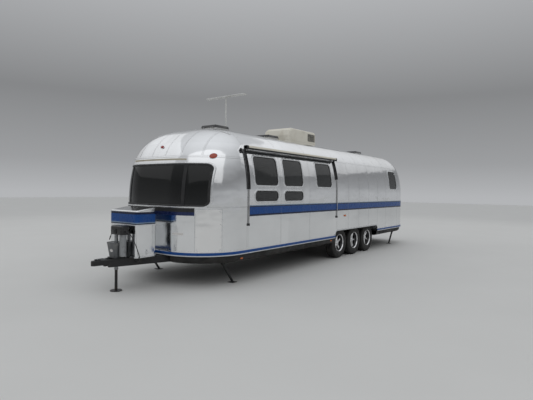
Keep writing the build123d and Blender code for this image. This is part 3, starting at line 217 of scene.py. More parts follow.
def round_wall(side):
    """Maps (way along the wall from the middle of the front, height) to the skin, round both corners."""

    def place(u, v, height=0.0):
        u, v = arrays(u, v)
        half_width, half_length, corner = plan_at(v, 0.0)
        edge, bend = half_width - corner, corner * math.pi / 2
        flank = 2 * (half_length - corner)
        x, y = np.minimum(u, edge), np.full_like(u, -1.0) * half_length
        turn = np.clip((u - edge) / corner, 0, math.pi / 2)
        x = x + corner * np.sin(turn)
        y = y + corner * (1 - np.cos(turn)) + np.clip(u - edge - bend, 0, flank)
        turn = np.clip((u - edge - bend - flank) / corner, 0, math.pi / 2)
        x = x - corner * (1 - np.cos(turn)) - np.maximum(u - edge - 2 * bend - flank, 0)
        y = y + corner * np.sin(turn)
        return lifted(np.stack([side * x, MIDDLE + y, v], -1), height)

    return place


EDGE_RUN = WIDTH / 2 - PLAN_CORNER
BEND_RUN = PLAN_CORNER * math.pi / 2
FLANK_RUN = LENGTH - 2 * PLAN_CORNER


def run_to(distance_behind):
    """The way along the wall to a place beside the flank."""
    return EDGE_RUN + BEND_RUN + distance_behind - PLAN_CORNER


SIDES = ((1, "street"), (-1, "curb"))
UP = (0, 0, 1)
CURB_FACE = -WIDTH / 2


# Meshes
def placed_object(name, data):
    """An object that holds this data, linked into the scene."""
    made = bpy.data.objects.new(name, data)
    bpy.context.scene.collection.objects.link(made)
    return made


def finish_piece(name, mesh, materials=(), body="caravan", angle=32, replaces=(), slot=None):
    """A piece of the object, smooth up to an angle, riding on its body."""
    mesh.validate()
    for one in materials:
        if one.name not in mesh.materials:
            mesh.materials.append(one)
    mesh.polygons.foreach_set("use_smooth", [True] * len(mesh.polygons))
    if angle is not None:
        mesh.set_sharp_from_angle(angle=math.radians(angle))
    piece = placed_object(name, mesh)
    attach(piece, body)
    if replaces:
        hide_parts(*replaces)
    return piece


def outward(bm):
    """Merges doubles, drops slivers and turns faces outwards."""
    bmesh.ops.remove_doubles(bm, verts=bm.verts, dist=1e-5)
    bmesh.ops.dissolve_degenerate(bm, edges=bm.edges, dist=1e-6)
    bmesh.ops.recalc_face_normals(bm, faces=bm.faces)


def closed(points, faces, name="form"):
    """A mesh whose doubles are merged and whose faces point outwards."""
    bm = bmesh.new()
    verts = [bm.verts.new(tuple(map(float, p))) for p in points]
    for face in faces:
        corners = [verts[i] for i in face]
        if len(set(corners)) == len(corners) and not bm.faces.get(corners):
            bm.faces.new(corners)
    outward(bm)
    mesh = bpy.data.meshes.new(name)
    bm.to_mesh(mesh)
    bm.free()
    return mesh


def quads(rows, columns, close_rows=False, close_columns=False, first=0):
    """The faces of a grid of points, held row by row."""
    faces = []
    for i in range(rows if close_rows else rows - 1):
        for j in range(columns if close_columns else columns - 1):
            a, b = i * columns + j, i * columns + (j + 1) % columns
            c, d = ((i + 1) % rows) * columns + (j + 1) % columns, ((i + 1) % rows) * columns + j
            faces.append((first + a, first + b, first + c, first + d))
    return faces


def capped(rows, columns):
    """The faces of a grid of points that closes round its columns, with both ends covered."""
    foot = tuple(range(columns - 1, -1, -1))
    head = tuple(range((rows - 1) * columns, rows * columns))
    return [*quads(rows, columns, False, True), foot, head]


def rounded(left, right, bottom, top, corner, steps=8, edge=0.08):
    """A rounded rectangle's points, anticlockwise, with its straight runs divided about this finely."""
    near_x, far_x, near_y, far_y = left + corner, right - corner, bottom + corner, top - corner
    points = []
    for x, y, start in ((far_x, near_y, -90), (far_x, far_y, 0), (near_x, far_y, 90), (near_x, near_y, 180)):
        for i in range(steps + 1):
            angle = math.radians(start + 90 * i / steps)
            points.append((x + corner * math.cos(angle), y + corner * math.sin(angle)))
    dense = []
    for (x, y), (next_x, next_y) in zip(points, points[1:] + points[:1]):
        pieces = max(1, round(math.dist((x, y), (next_x, next_y)) / edge))
        dense += [(x + (next_x - x) * i / pieces, y + (next_y - y) * i / pieces) for i in range(pieces)]
    return np.array(dense)


def widened(edges, reach):
    """A rectangle's edges (left, right, bottom, top), each moved out by this much."""
    left, right, bottom, top = edges
    return left - reach, right + reach, bottom - reach, top + reach


def offsets(path, is_closed):
    """A flat path's normal at each point, to the right of its way, scaled to keep its width in bends."""
    path = np.asarray(path, float)
    if is_closed:
        before, after = np.roll(path, 1, 0), np.roll(path, -1, 0)
    else:
        before, after = np.vstack([path[:1], path[:-1]]), np.vstack([path[1:], path[-1:]])
    into, out = path - before, after - path
    if not is_closed:
        into[0], out[-1] = out[0], into[-1]
    into /= np.maximum(np.linalg.norm(into, axis=1), 1e-12)[:, None]
    out /= np.maximum(np.linalg.norm(out, axis=1), 1e-12)[:, None]
    middle = into + out
    middle /= np.maximum(np.linalg.norm(middle, axis=1), 1e-12)[:, None]
    scale = 1 / np.maximum((middle * into).sum(1), 0.5)
    return np.stack([middle[:, 1], -middle[:, 0]], -1) * scale[:, None]


def trim(name, path, mapping, profile, materials, is_closed=True, **options):
    """A bar swept along a flat path on the skin; the profile gives (out of the path, above the skin)."""
    path = np.asarray(path, float)
    sides = offsets(path, is_closed)
    columns = len(profile)
    points = []
    for across, height in profile:
        flat = path + sides * across
        points.append(mapping(flat[:, 0], flat[:, 1], height))
    points = np.stack(points, 1).reshape(-1, 3)
    faces = quads(len(path), columns, True, True) if is_closed else capped(len(path), columns)
    return finish_piece(name, closed(points, faces, name), materials, **options)


def strip(name, line, mapping, profile, materials, **options):
    """A trim along a line whose ends stay apart."""
    return trim(name, line, mapping, profile, materials, is_closed=False, **options)


def bar(half_width, low, high, edge=0.0015):
    """A flat bar's profile with broken edges."""
    return (
        (-half_width, low),
        (half_width, low),
        (half_width, high - edge),
        (half_width - edge, high),
        (-half_width + edge, high),
        (-half_width, high - edge),
    )


def axis_frame(axis):
    """An axis as a unit vector, and two more that stand square to it."""
    axis = Vector(axis).normalized()
    across = axis.orthogonal().normalized()
    return axis, across, axis.cross(across)


def lathe(profile, centre, axis, steps=48):
    """Points and faces of a profile of (along the axis, radius), turned about the axis through the centre."""
    axis, across, other = axis_frame(axis)
    centre = Vector(centre)
    points = []
    for reach, radius in profile:
        for i in range(steps):
            angle = 2 * math.pi * i / steps
            way = across * math.cos(angle) + other * math.sin(angle)
            points.append(centre + axis * reach + way * radius)
    return points, capped(len(profile), steps)


def prism_form(outline, plane, low, high):
    """Points and faces of an outline between two distances along a plane's third way."""
    u_way, v_way, normal = (Vector(way) for way in plane)
    points = [u_way * u + v_way * v + normal * w for w in (low, high) for u, v in outline]
    return points, capped(2, len(outline))


def joined(forms):
    """One set of points and faces from several."""
    points, faces = [], []
    for some_points, some_faces in forms:
        faces += [tuple(i + len(points) for i in face) for face in some_faces]
        points += list(some_points)
    return points, faces


def slab(low, high, bevel=0.004, segments=2):
    """Points and faces of a block with rounded edges."""
    bm = bmesh.new()
    bmesh.ops.create_cube(bm, size=1)
    low, high = Vector(low), Vector(high)
    for vert in bm.verts:
        vert.co = Vector((low[i] + (high[i] - low[i]) * (vert.co[i] + 0.5) for i in range(3)))
    if bevel:
        bmesh.ops.bevel(bm, geom=bm.edges[:], offset=bevel, segments=segments, affect="EDGES", profile=0.5)
    bm.verts.ensure_lookup_table()
    result = [v.co.copy() for v in bm.verts], [tuple(v.index for v in f.verts) for f in bm.faces]
    bm.free()
    return result


def tube(path, radius, sides=12):
    """Points and faces of a round bar through a list of points."""
    path = [Vector(p) for p in path]
    points = []
    side = None
    for i, point in enumerate(path):
        way = (path[min(i + 1, len(path) - 1)] - path[max(i - 1, 0)]).normalized()
        side = way.orthogonal().normalized() if side is None else (side - way * side.dot(way)).normalized()
        other = way.cross(side)
        for j in range(sides):
            angle = 2 * math.pi * j / sides
            points.append(point + (side * math.cos(angle) + other * math.sin(angle)) * radius)
    return points, capped(len(path), sides)


def pieces_of(name, forms, materials, **options):
    """One piece from several closed forms."""
    points, faces = joined(forms)
    return finish_piece(name, closed(points, faces, name), materials, **options)


# Cutting, on plain meshes
def applied(piece):
    """A plain mesh of an object with its modifiers worked out."""
    bpy.context.view_layer.update()
    depsgraph = bpy.context.evaluated_depsgraph_get()
    return bpy.data.meshes.new_from_object(piece.evaluated_get(depsgraph))


def combine(mesh, tool, operation):
    """The mesh cut by, or kept inside, a tool mesh; both stay as they were."""
    body, cutter = placed_object("body", mesh), placed_object("tool", tool)
    cut = body.modifiers.new("cut", "BOOLEAN")
    cut.operation = operation
    cut.object = cutter
    cut.solver = "MANIFOLD"
    result = applied(body)
    bpy.data.objects.remove(body)
    bpy.data.objects.remove(cutter)
    return result


def kept_in(mesh, *forms):
    """The part of a mesh that lies inside closed forms."""
    return combine(mesh, closed(*joined(forms), name="tool"), "INTERSECT")


def cut_by(mesh, *forms):
    """A mesh less closed forms."""
    return combine(mesh, closed(*joined(forms), name="tool"), "DIFFERENCE")


# The skin between two depths, from its lower edge over the roof
RING_COUNTS = (10, 20, 44)  # columns: half an end's flat, a corner, a flank
LOW_LEVELS = (0.80, 1.05, 1.20, END_FOOT, 1.36, 1.40, 1.44, 1.48, 1.515)
ARC_STEPS = (8, 24, 14)


def ring(height, depth):
    """The body's plan at one height, starting at the middle of the front, by the street side."""
    half_width, half_length, corner = (float(v[0]) for v in plan_at(np.array([height]), depth))
    flat, bend, flank = RING_COUNTS
    across, reach = half_width - corner, half_length - corner
    half = [(x, -half_length) for x in np.linspace(0, across, flat, endpoint=False)]
    half += [
        (across + corner * math.sin(a), -reach - corner * math.cos(a))
        for a in np.linspace(0, math.pi / 2, bend, endpoint=False)
    ]
    half += [(half_width, y) for y in np.linspace(-reach, reach, flank, endpoint=False)]
    half += [
        (across + corner * math.cos(a), reach + corner * math.sin(a))
        for a in np.linspace(0, math.pi / 2, bend, endpoint=False)
    ]
    half += [(x, half_length) for x in np.linspace(across, 0, flat + 1)]
    whole = half + [(-x, y) for x, y in half[-2:0:-1]]
    return [(x, MIDDLE + y, height) for x, y in whole]


def skin_levels(depth, bottom):
    """The heights of a skin's rings, from its lower edge to the roof's middle."""
    heights = [bottom, *(z for z in LOW_LEVELS if z > bottom)]
    start = 0.0
    for (_, centre_height, radius, end), steps in zip(arc_chain(SIDE_FOOT, SIDE_ARCS, depth), ARC_STEPS):
        heights += [
            centre_height + radius * math.sin(a)
            for a in np.linspace(start, end, steps, endpoint=False)
        ]
        start = end
    return [*heights, ROOF_TOP - depth]


def shell(outer, inner, bottom=FLOOR_TOP):
    """A closed shell of the body between two depths."""
    rows = []
    for depth in (outer, inner):
        rows.append([point for height in skin_levels(depth, bottom) for point in ring(height, depth)])
    columns = len(ring(bottom, outer))
    first = len(rows[0])
    levels = first // columns
    faces = quads(levels, columns, False, True)
    faces += [face[::-1] for face in quads(levels, columns, False, True, first)]
    faces += [(j, first + j, first + (j + 1) % columns, (j + 1) % columns) for j in range(columns)]
    return closed(rows[0] + rows[1], faces, "shell")


def skin_piece(name, mesh, depths, materials, **options):
    """Gives a cut shell its materials (outside, inside, cut edges) and the skin's true normals."""
    count = len(mesh.polygons)
    corners = len(mesh.loops)
    vertex = np.zeros(len(mesh.vertices) * 3)
    mesh.vertices.foreach_get("co", vertex)
    vertex = vertex.reshape(-1, 3)
    centre, facing = np.zeros(count * 3), np.zeros(count * 3)
    mesh.polygons.foreach_get("center", centre)
    mesh.polygons.foreach_get("normal", facing)
    centre, facing = centre.reshape(-1, 3), facing.reshape(-1, 3)
    loop_vertex = np.zeros(corners, int)
    mesh.loops.foreach_get("vertex_index", loop_vertex)
    totals = np.zeros(count, int)
    mesh.polygons.foreach_get("loop_total", totals)
    loop_face = np.repeat(np.arange(count), totals)
    loop_normal = facing[loop_face]
    kind = np.full(count, 2)
    for index, (depth, way) in enumerate(zip(depths, (1, -1))):
        near = np.abs(distance(centre, depth)) < 0.004
        near |= centre[:, 2] > ROOF_TOP - depth - 0.004
        along = (normals_at(centre, depth) * facing).sum(1) * way > 0.9
        on_skin = near & along & (kind == 2)
        kind[on_skin] = index
        true = normals_at(vertex, depth) * way
        picked = on_skin[loop_face]
        loop_normal[picked] = true[loop_vertex[picked]]
    options.setdefault("angle", None)
    piece = finish_piece(name, mesh, (), **options)
    mesh.materials.clear()
    for one in materials:
        mesh.materials.append(one)
    mesh.polygons.foreach_set("material_index", np.minimum(kind, len(materials) - 1))
    mesh.normals_split_custom_set(loop_normal.tolist())
    return piece


SIDE_WAY = ((0, 1, 0), UP, (1, 0, 0))
END_WAY = ((1, 0, 0), UP, (0, 1, 0))


def side_tool(side, window, grow=0.0, corner=GLASS_CORNER, steps=12):
    """A rounded block through one side wall, at a window (start, end, bottom, top)."""
    start, end, bottom, top = window
    outline = rounded(
        FRONT + start - grow, FRONT + end + grow, bottom - grow, top + grow, corner + grow, steps, edge=9
    )
    low, high = sorted((side * 0.9, side * 1.35))
    return prism_form(outline, SIDE_WAY, low, high)


def end_tool(end, window, grow=0.0, corner=GLASS_CORNER, steps=12):
    """A rounded block through the front, end -1, or the rear, end 1."""
    outline = rounded(*widened(window, grow), corner + grow, steps, edge=9)
    low, high = sorted((MIDDLE + end * (LENGTH / 2 - 0.46), MIDDLE + end * (LENGTH / 2 + 0.1)))
    return prism_form(outline, END_WAY, low, high)


# Finishes
def new_material(name, colour, metallic, roughness):
    """A material with one shader whose even values are set on its sockets, and its object coordinates."""
    material = bpy.data.materials.new(name)
    material.use_nodes = True
    tree = material.node_tree
    shader = tree.nodes["Principled BSDF"]
    shader.inputs["Base Color"].default_value = (*colour, 1)
    shader.inputs["Metallic"].default_value = metallic
    shader.inputs["Roughness"].default_value = roughness
    coordinates = tree.nodes.new("ShaderNodeTexCoord").outputs["Object"]
    return material, tree, shader, coordinates


def feed(tree, socket, value):
    """Links another node's output to an input, or sets the input to an even value."""
    if isinstance(value, bpy.types.NodeSocket):
        tree.links.new(value, socket)
    else:
        socket.default_value = value


def node(tree, kind, **values):
    """A node with its inputs set or linked by name, and its properties set by name."""
    made = tree.nodes.new(kind)
    for key, value in values.items():
        if hasattr(made, key):
            setattr(made, key, value)
    for key, value in values.items():
        found = made.inputs.get(key.replace("_", " ")) if not hasattr(made, key) else None
        if found is not None:
            feed(tree, found, value)
    return made


def maths(tree, operation, *values):
    """A maths node's result, with its inputs set or linked in their order."""
    made = node(tree, "ShaderNodeMath", operation=operation)
    for socket, value in zip(made.inputs, values):
        feed(tree, socket, value)
    return made.outputs[0]


def noise(tree, coordinates, scale, detail=4.0, stretch=(1, 1, 1)):
    """Fractal noise over the object, stretched along its axes."""
    placed = node(tree, "ShaderNodeMapping", Vector=coordinates, Scale=tuple(stretch)).outputs[0]
    return node(tree, "ShaderNodeTexNoise", Vector=placed, Scale=scale, Detail=detail).outputs["Fac"]


def spread(tree, value, low, high, start=0.3, end=0.7):
    """A noise value mapped to a range."""
    return node(
        tree, "ShaderNodeMapRange", Value=value, From_Min=start, From_Max=end, To_Min=low, To_Max=high
    ).outputs[0]


def paint(tree, shader, factor, first, second):
    """Mixes two colours, or outputs that give them, by a factor into the shader's colour."""
    mix = tree.nodes.new("ShaderNodeMix")
    mix.data_type = "RGBA"
    tree.links.new(factor, mix.inputs[0])
    for socket, value in ((mix.inputs[6], first), (mix.inputs[7], second)):
        feed(tree, socket, (*value, 1) if isinstance(value, tuple) else value)
    tree.links.new(mix.outputs[2], shader.inputs["Base Color"])


def set_stops(ramp, stops):
    """Sets a colour ramp's stops, each a position and a colour."""
    elements = ramp.color_ramp.elements
    while len(elements) < len(stops):
        elements.new(0.5)
    for element, (position, colour) in zip(elements, stops):
        element.position = position
        element.color = (*colour, 1)


def bands(tree, value, stops):
    """Flat colours by height; stops give (height where the colour starts, colour) between 0 and 4 metres."""
    ramp = tree.nodes.new("ShaderNodeValToRGB")
    ramp.color_ramp.interpolation = "CONSTANT"
    tree.links.new(spread(tree, value, 0, 1, 0, 4), ramp.inputs[0])
    set_stops(ramp, [(height / 4, colour) for height, colour in stops])
    return ramp.outputs[0]


def bump(tree, shader, heights):
    """Adds fine relief; heights give (a value, its depth in metres)."""
    normal = None
    for value, depth in heights:
        made = node(tree, "ShaderNodeBump", Height=value, Distance=depth, Strength=1.0)
        if normal:
            tree.links.new(normal, made.inputs["Normal"])
        normal = made.outputs[0]
    tree.links.new(normal, shader.inputs["Normal"])


def worn(name, colour, metallic, roughness, second=None, patch=6.0, grain=90.0, depth=0.0004, share=0.5):
    """A finish with patches of a second tone, uneven gloss and a fine grain."""
    material, tree, shader, coordinates = new_material(name, colour, metallic, roughness)
    second = second or tuple(0.7 * c for c in colour)
    patches = spread(tree, noise(tree, coordinates, patch, 5), 0, 1, share, share + 0.25)
    paint(tree, shader, patches, colour, second)
    gloss = spread(tree, noise(tree, coordinates, patch * 2.3), roughness * 0.75, min(1, roughness * 1.35))
    tree.links.new(gloss, shader.inputs["Roughness"])
    bump(tree, shader, ((noise(tree, coordinates, grain, 3), depth),))
    return material


def polished_sheet(name, colour=(0.86, 0.87, 0.88), wave=0.0012, haze=0.10):
    """Polished aluminium: sheets that differ a little, faint polishing marks, slow waves in reflections."""
    material, tree, shader, coordinates = new_material(name, colour, 1.0, haze)
    sheets = node(tree, "ShaderNodeVectorMath", operation="SNAP")
    tree.links.new(coordinates, sheets.inputs[0])
    sheets.inputs[1].default_value = (1.3, 0.61, 0.59)
    tone = node(tree, "ShaderNodeTexWhiteNoise", Vector=sheets.outputs[0]).outputs["Value"]
    clouds = noise(tree, coordinates, 1.7, 5)
    marks = noise(tree, coordinates, 26, 4, (1, 0.12, 1))
    darker = tuple(0.88 * c for c in colour)
    both = maths(tree, "MULTIPLY_ADD", tone, 0.45, spread(tree, clouds, 0, 0.55))
    paint(tree, shader, both, colour, darker)
    uneven = spread(tree, marks, haze * 0.7, haze * 1.5)
    gloss = maths(tree, "MULTIPLY", uneven, spread(tree, tone, 0.85, 1.2, 0, 1))
    tree.links.new(gloss, shader.inputs["Roughness"])
    waves = noise(tree, coordinates, 2.1, 2, (1, 0.8, 1.4))
    bump(tree, shader, ((waves, wave * 6), (marks, 0.00006)))
    return material


def striped(name, stops, roughness=0.26, dirt=(0.2, 0.2, 0.19)):
    """A finish in level bands, with a little road dirt."""
    material, tree, shader, coordinates = new_material(name, stops[0][1], 0.0, roughness)
    shader.inputs["Specular IOR Level"].default_value = 0.3
    height = node(tree, "ShaderNodeSeparateXYZ", Vector=coordinates).outputs["Z"]
    film = spread(tree, noise(tree, coordinates, 7, 6), 0, 0.06, 0.5, 0.75)
    colours = bands(tree, height, stops)
    paint(tree, shader, film, colours, dirt)
    gloss = spread(tree, noise(tree, coordinates, 12), roughness * 0.8, roughness * 1.5)
    tree.links.new(gloss, shader.inputs["Roughness"])
    bump(tree, shader, ((noise(tree, coordinates, 160, 2), 0.00008),))
    return material


NAVY = (0.004, 0.010, 0.040)
BLUE = (0.003, 0.058, 0.245)
PALE_LINE = (0.22, 0.30, 0.40)
SILVER = (0.62, 0.64, 0.66)

polished = polished_sheet("polished_aluminium")
guard_metal = polished_sheet("polished_guard", (0.92, 0.92, 0.92), 0.0018, 0.07)
cover_metal = polished_sheet("polished_cover", (0.84, 0.85, 0.86), 0.0012, 0.12)
# Columns after each name: colour, metal, roughness, second tone, patches' scale, grain's scale and depth
trim_metal = worn("brushed_trim", (0.74, 0.75, 0.76), 1.0, 0.24, (0.62, 0.63, 0.64), 5, 240, 0.00008)
rivet_metal = worn("rivet_heads", (0.80, 0.81, 0.82), 1.0, 0.22, (0.62, 0.62, 0.62), 9, 200, 0.00003)
cut_edge = worn("cut_sheet_edge", (0.60, 0.61, 0.62), 1.0, 0.38, None, 8, 160, 0.0001)
lining = worn("cabin_lining", (0.62, 0.58, 0.50), 0.0, 0.6, (0.55, 0.51, 0.44), 2, 300, 0.0002)
gasket = worn("window_gasket", (0.012, 0.012, 0.013), 0.0, 0.55, (0.03, 0.03, 0.03), 14, 200, 0.0002)
black_steel = worn(
    "black_steel", (0.010, 0.010, 0.011), 0.0, 0.45, (0.048, 0.035, 0.026), 9, 130, 0.0005, 0.55
)
# The belly pan is painted near black as painted shade under the body, with patches of road dirt.
belly_painted_shade = worn("belly_painted_shade", (0.009, 0.009, 0.009), 0.0, 0.6, (0.034, 0.030, 0.026), 3.5, 90, 0.0006)
galvanised = worn("galvanised_steel", (0.34, 0.35, 0.36), 0.85, 0.46, (0.22, 0.22, 0.22), 22, 120, 0.0002)
jack_paint = worn("jack_grey_paint", (0.10, 0.105, 0.11), 0.0, 0.36, (0.17, 0.17, 0.165), 11, 150, 0.0003)
jack_black = worn("jack_head_black", (0.012, 0.012, 0.013), 0.0, 0.30, (0.035, 0.034, 0.033), 14, 260, 0.0003)
bottle_paint = worn("bottle_paint", (0.70, 0.70, 0.68), 0.0, 0.35, (0.55, 0.54, 0.50), 7, 120, 0.0003)
shroud = worn("cream_shroud", (0.74, 0.71, 0.62), 0.0, 0.52, (0.60, 0.56, 0.46), 3.5, 170, 0.0004, 0.52)
# The grille's near-black sheets are painted shade, standing for the shade inside the grille's openings.
grille_painted_shade = worn("grille_shade_sheet", (0.030, 0.030, 0.030), 0.2, 0.6, None, 9, 100, 0.0004)
smoke_plastic = worn(
    "smoke_plastic", (0.030, 0.030, 0.032), 0.0, 0.32, (0.10, 0.095, 0.085), 6, 200, 0.0003, 0.55
)
black_plastic = worn(
    "black_plastic", (0.016, 0.016, 0.017), 0.0, 0.38, (0.045, 0.044, 0.042), 14, 220, 0.0003
)
arm_black = worn("awning_arm_black", (0.020, 0.020, 0.021), 0.3, 0.40, (0.06, 0.06, 0.06), 12, 200, 0.0002)
arm_metal = worn("awning_arm_metal", (0.50, 0.50, 0.50), 1.0, 0.34, (0.36, 0.36, 0.36), 9, 200, 0.0001)
wheel_alloy = worn("wheel_alloy", (0.82, 0.82, 0.83), 1.0, 0.16, (0.66, 0.66, 0.66), 12, 220, 0.00005)
# The rims' pockets are painted near black as painted shade between the spokes; the barrel behind them is
# bright alloy.
pocket_painted_shade = worn("wheel_pocket_painted_shade", (0.018, 0.018, 0.019), 0.3, 0.42, (0.06, 0.055, 0.05), 14, 130, 0.0003)
drum_iron = worn("drum_iron", (0.06, 0.045, 0.036), 0.6, 0.62, (0.13, 0.07, 0.04), 16, 150, 0.0006)
blind_paint = worn("blind_slats", (0.80, 0.77, 0.70), 0.0, 0.5, (0.70, 0.67, 0.60), 6, 120, 0.0001)
navy_film = worn("navy_film", NAVY, 0.2, 0.25, (0.016, 0.028, 0.10), 8, 160, 0.0001)
band_blue = worn("front_band_blue", (0.012, 0.022, 0.085), 0.2, 0.25, (0.020, 0.034, 0.11), 8, 160, 0.0001)
blank_label = worn("blank_label", (0.72, 0.70, 0.68), 0.0, 0.4, (0.60, 0.58, 0.55), 20, 180, 0.0002)
# The roll's near black is painted shade under the roll, a shaded copy of the cream vinyl of the hood.
roll_vinyl_painted_shade = worn("awning_vinyl_painted_shade", (0.030, 0.032, 0.036), 0.0, 0.6, (0.07, 0.068, 0.062), 8, 200, 0.0004)
bumper_metal = worn("bumper_metal", (0.66, 0.66, 0.66), 1.0, 0.26, (0.48, 0.48, 0.47), 8, 140, 0.0002)
collar_metal = worn("roof_collar_metal", (0.60, 0.60, 0.59), 0.9, 0.36, (0.44, 0.43, 0.41), 9, 150, 0.0002)
antenna_grey = worn("antenna_plastic", (0.66, 0.66, 0.64), 0.0, 0.45, (0.50, 0.49, 0.46), 10, 180, 0.0002)
cable_rubber = worn("cable_rubber", (0.014, 0.014, 0.015), 0.0, 0.5, (0.05, 0.048, 0.045), 30, 300, 0.0001)
sealant = worn("seam_sealant", (0.12, 0.12, 0.12), 0.0, 0.6, (0.20, 0.20, 0.19), 12, 200, 0.0002)
drip_cream = worn("drip_rail_cream", (0.58, 0.54, 0.44), 0.0, 0.48, (0.44, 0.40, 0.31), 9, 160, 0.0002)
belt_paint = striped(
    "belt_stripe",
    (
        (0, SILVER),
        (BELT[0] + 0.004, NAVY),
        (BELT[0] + 0.034, PALE_LINE),
        (BELT[0] + 0.039, BLUE),
        (BELT[1] - 0.046, NAVY),
        (BELT[1] - 0.020, PALE_LINE),
        (BELT[1] - 0.006, SILVER),
    ),
)
rail_paint = striped("rub_rail_blue", ((0, SILVER), (0.523, BLUE), (0.5665, SILVER)))
FLOOR_WOOD = (0.30, 0.21, 0.13)
UNDERSEAL = (0.012, 0.012, 0.012)
plywood = striped("cabin_floor", ((0, UNDERSEAL), (FLOOR_TOP - 0.001, FLOOR_WOOD)), 0.6, (0.09, 0.07, 0.05))
cover_stripes = striped(
    "cover_stripes",
    (
        (0, SILVER),
        (1.022, NAVY),
        (1.046, PALE_LINE),
        (1.051, BLUE),
        (1.158, PALE_LINE),
        (1.163, BLUE),
        (1.180, PALE_LINE),
        (1.185, NAVY),
    ),
)


def glass_finish(name, colour, transmission, roughness=0.03):
    """Tinted sheet glass with a trace of dust."""
    material, tree, shader, coordinates = new_material(name, colour, 0.0, roughness)
    shader.inputs["Transmission Weight"].default_value = transmission
    shader.inputs["IOR"].default_value = 1.5
    shader.inputs["Specular IOR Level"].default_value = 0.35
    dust = spread(tree, noise(tree, coordinates, 5, 6), roughness, roughness + 0.05)
    tree.links.new(dust, shader.inputs["Roughness"])
    tint = spread(tree, noise(tree, coordinates, 1.3), 0, 1)
    paint(tree, shader, tint, colour, tuple(1.5 * c for c in colour))
    return material


tinted_glass = glass_finish("tinted_glass", (0.006, 0.007, 0.007), 0.40)
side_tint = glass_finish("side_tinted_glass", (0.075, 0.080, 0.080), 0.85)


def lens_finish(name, colour):
    """A moulded lamp lens with fine ribs."""
    material, tree, shader, coordinates = new_material(name, colour, 0.0, 0.16)
    shader.inputs["Coat Weight"].default_value = 0.6
    shader.inputs["Coat Roughness"].default_value = 0.05
    ribs = node(tree, "ShaderNodeTexWave", Vector=coordinates, Scale=45.0, Distortion=0.0).outputs["Fac"]
    tone = spread(tree, ribs, 0, 1, 0, 1)
    paint(tree, shader, tone, colour, tuple(0.45 * c for c in colour))
    bump(tree, shader, ((ribs, 0.0006),))
    return material


red_lens = lens_finish("red_lens", (0.42, 0.012, 0.006))
amber_lens = lens_finish("amber_lens", (0.72, 0.16, 0.012))
corner_lens = lens_finish("corner_lens", (0.50, 0.050, 0.012))
clear_lens = lens_finish("clear_lens", (0.66, 0.66, 0.64))


def rubber_finish():
    """Weathered tyre rubber, dusty grey where it isn't scrubbed."""
    material, tree, shader, coordinates = new_material("tyre_rubber", (0.018, 0.018, 0.018), 0.0, 0.72)
    dust = spread(tree, noise(tree, coordinates, 11, 6), 0, 0.5, 0.45, 0.8)
    paint(tree, shader, dust, (0.014, 0.014, 0.014), (0.085, 0.078, 0.068))
    bump(tree, shader, ((noise(tree, coordinates, 240, 3), 0.0004),))
    return material


def vinyl_finish():
    """Rolled awning vinyl, cream, with a faint weave and stains along the roll."""
    material, tree, shader, coordinates = new_material("awning_vinyl", (0.66, 0.63, 0.54), 0.0, 0.58)
    stains = spread(tree, noise(tree, coordinates, 9, 6, (1, 0.15, 1)), 0, 0.7, 0.45, 0.8)
    paint(tree, shader, stains, (0.68, 0.65, 0.56), (0.42, 0.38, 0.29))
    weave = node(
        tree, "ShaderNodeTexWave", Vector=coordinates, Scale=260.0, bands_direction="Y"
    ).outputs["Fac"]
    bump(tree, shader, ((weave, 0.0002), (noise(tree, coordinates, 30, 4, (1, 0.1, 1)), 0.002)))
    return material


tyre_rubber = rubber_finish()
awning_vinyl = vinyl_finish()
METAL_TRIM = {"materials": (trim_metal,), "slot": "aluminium_trim"}

# The body's skin, cut for its windows, doors, vents and wheels, and split where its panels meet
skin = shell(0.0, WALL)
opening = (WELL[0], WELL[1], FLOOR_TOP - 2 * OPENING_CORNER, OPENING_TOP)
side_holes = {
    1: [side_tool(1, window, FRAME_WIDTH) for window in STREET_WINDOWS]
    + [side_tool(1, opening, 0, OPENING_CORNER)],
    -1: [side_tool(-1, window, FRAME_WIDTH) for window in CURB_WINDOWS]
    + [side_tool(-1, opening, 0, OPENING_CORNER), side_tool(-1, DOOR, DOOR_GAP, DOOR_CORNER)],
}
end_holes = {
    -1: [end_tool(-1, FRONT_WINDOW, FRAME_WIDTH)],
    1: [end_tool(1, REAR_WINDOW, FRAME_WIDTH), end_tool(1, LOCKER, LOCKER_GAP, LOCKER_CORNER)],
}
COLLAR_SHEET = 0.014
roof_holes = []
for _, start, end in VENTS:
    reach, middle = (end - start) / 2 - COLLAR_SHEET, FRONT + (start + end) / 2
    roof_holes.append(slab((-reach, middle - reach, 2.4), (reach, middle + reach, 2.9), 0))

BIG, SKY = 1.4, 2.9  # limits beyond the body, across and above
panels = (
    ("front_skin", "front_cap", (-BIG, FRONT - 0.1, 0.4), (BIG, CAP_FRONT, SKY), end_holes[-1]),
    ("rear_skin", "rear_cap", (-BIG, CAP_REAR, 0.4), (BIG, REAR + 0.1, SKY), end_holes[1]),
    ("street_skin", "street_wall", (0, CAP_FRONT, 0.4), (BIG, CAP_REAR, ROOF_SEAM), side_holes[1]),
    ("curb_skin", "curb_wall", (-BIG, CAP_FRONT, 0.4), (0, CAP_REAR, ROOF_SEAM), side_holes[-1]),
    ("roof_skin", "roof", (-BIG, CAP_FRONT, ROOF_SEAM), (BIG, CAP_REAR, SKY), roof_holes),
)
SHEET = {"depths": (0.0, WALL), "materials": (polished, lining, cut_edge), "slot": "aluminium_skin"}
for name, stands_for, low, high, holes in panels:
    part = cut_by(kept_in(skin, slab(low, high, 0)), *holes)
    skin_piece(name, part, replaces=(stands_for,), **SHEET)


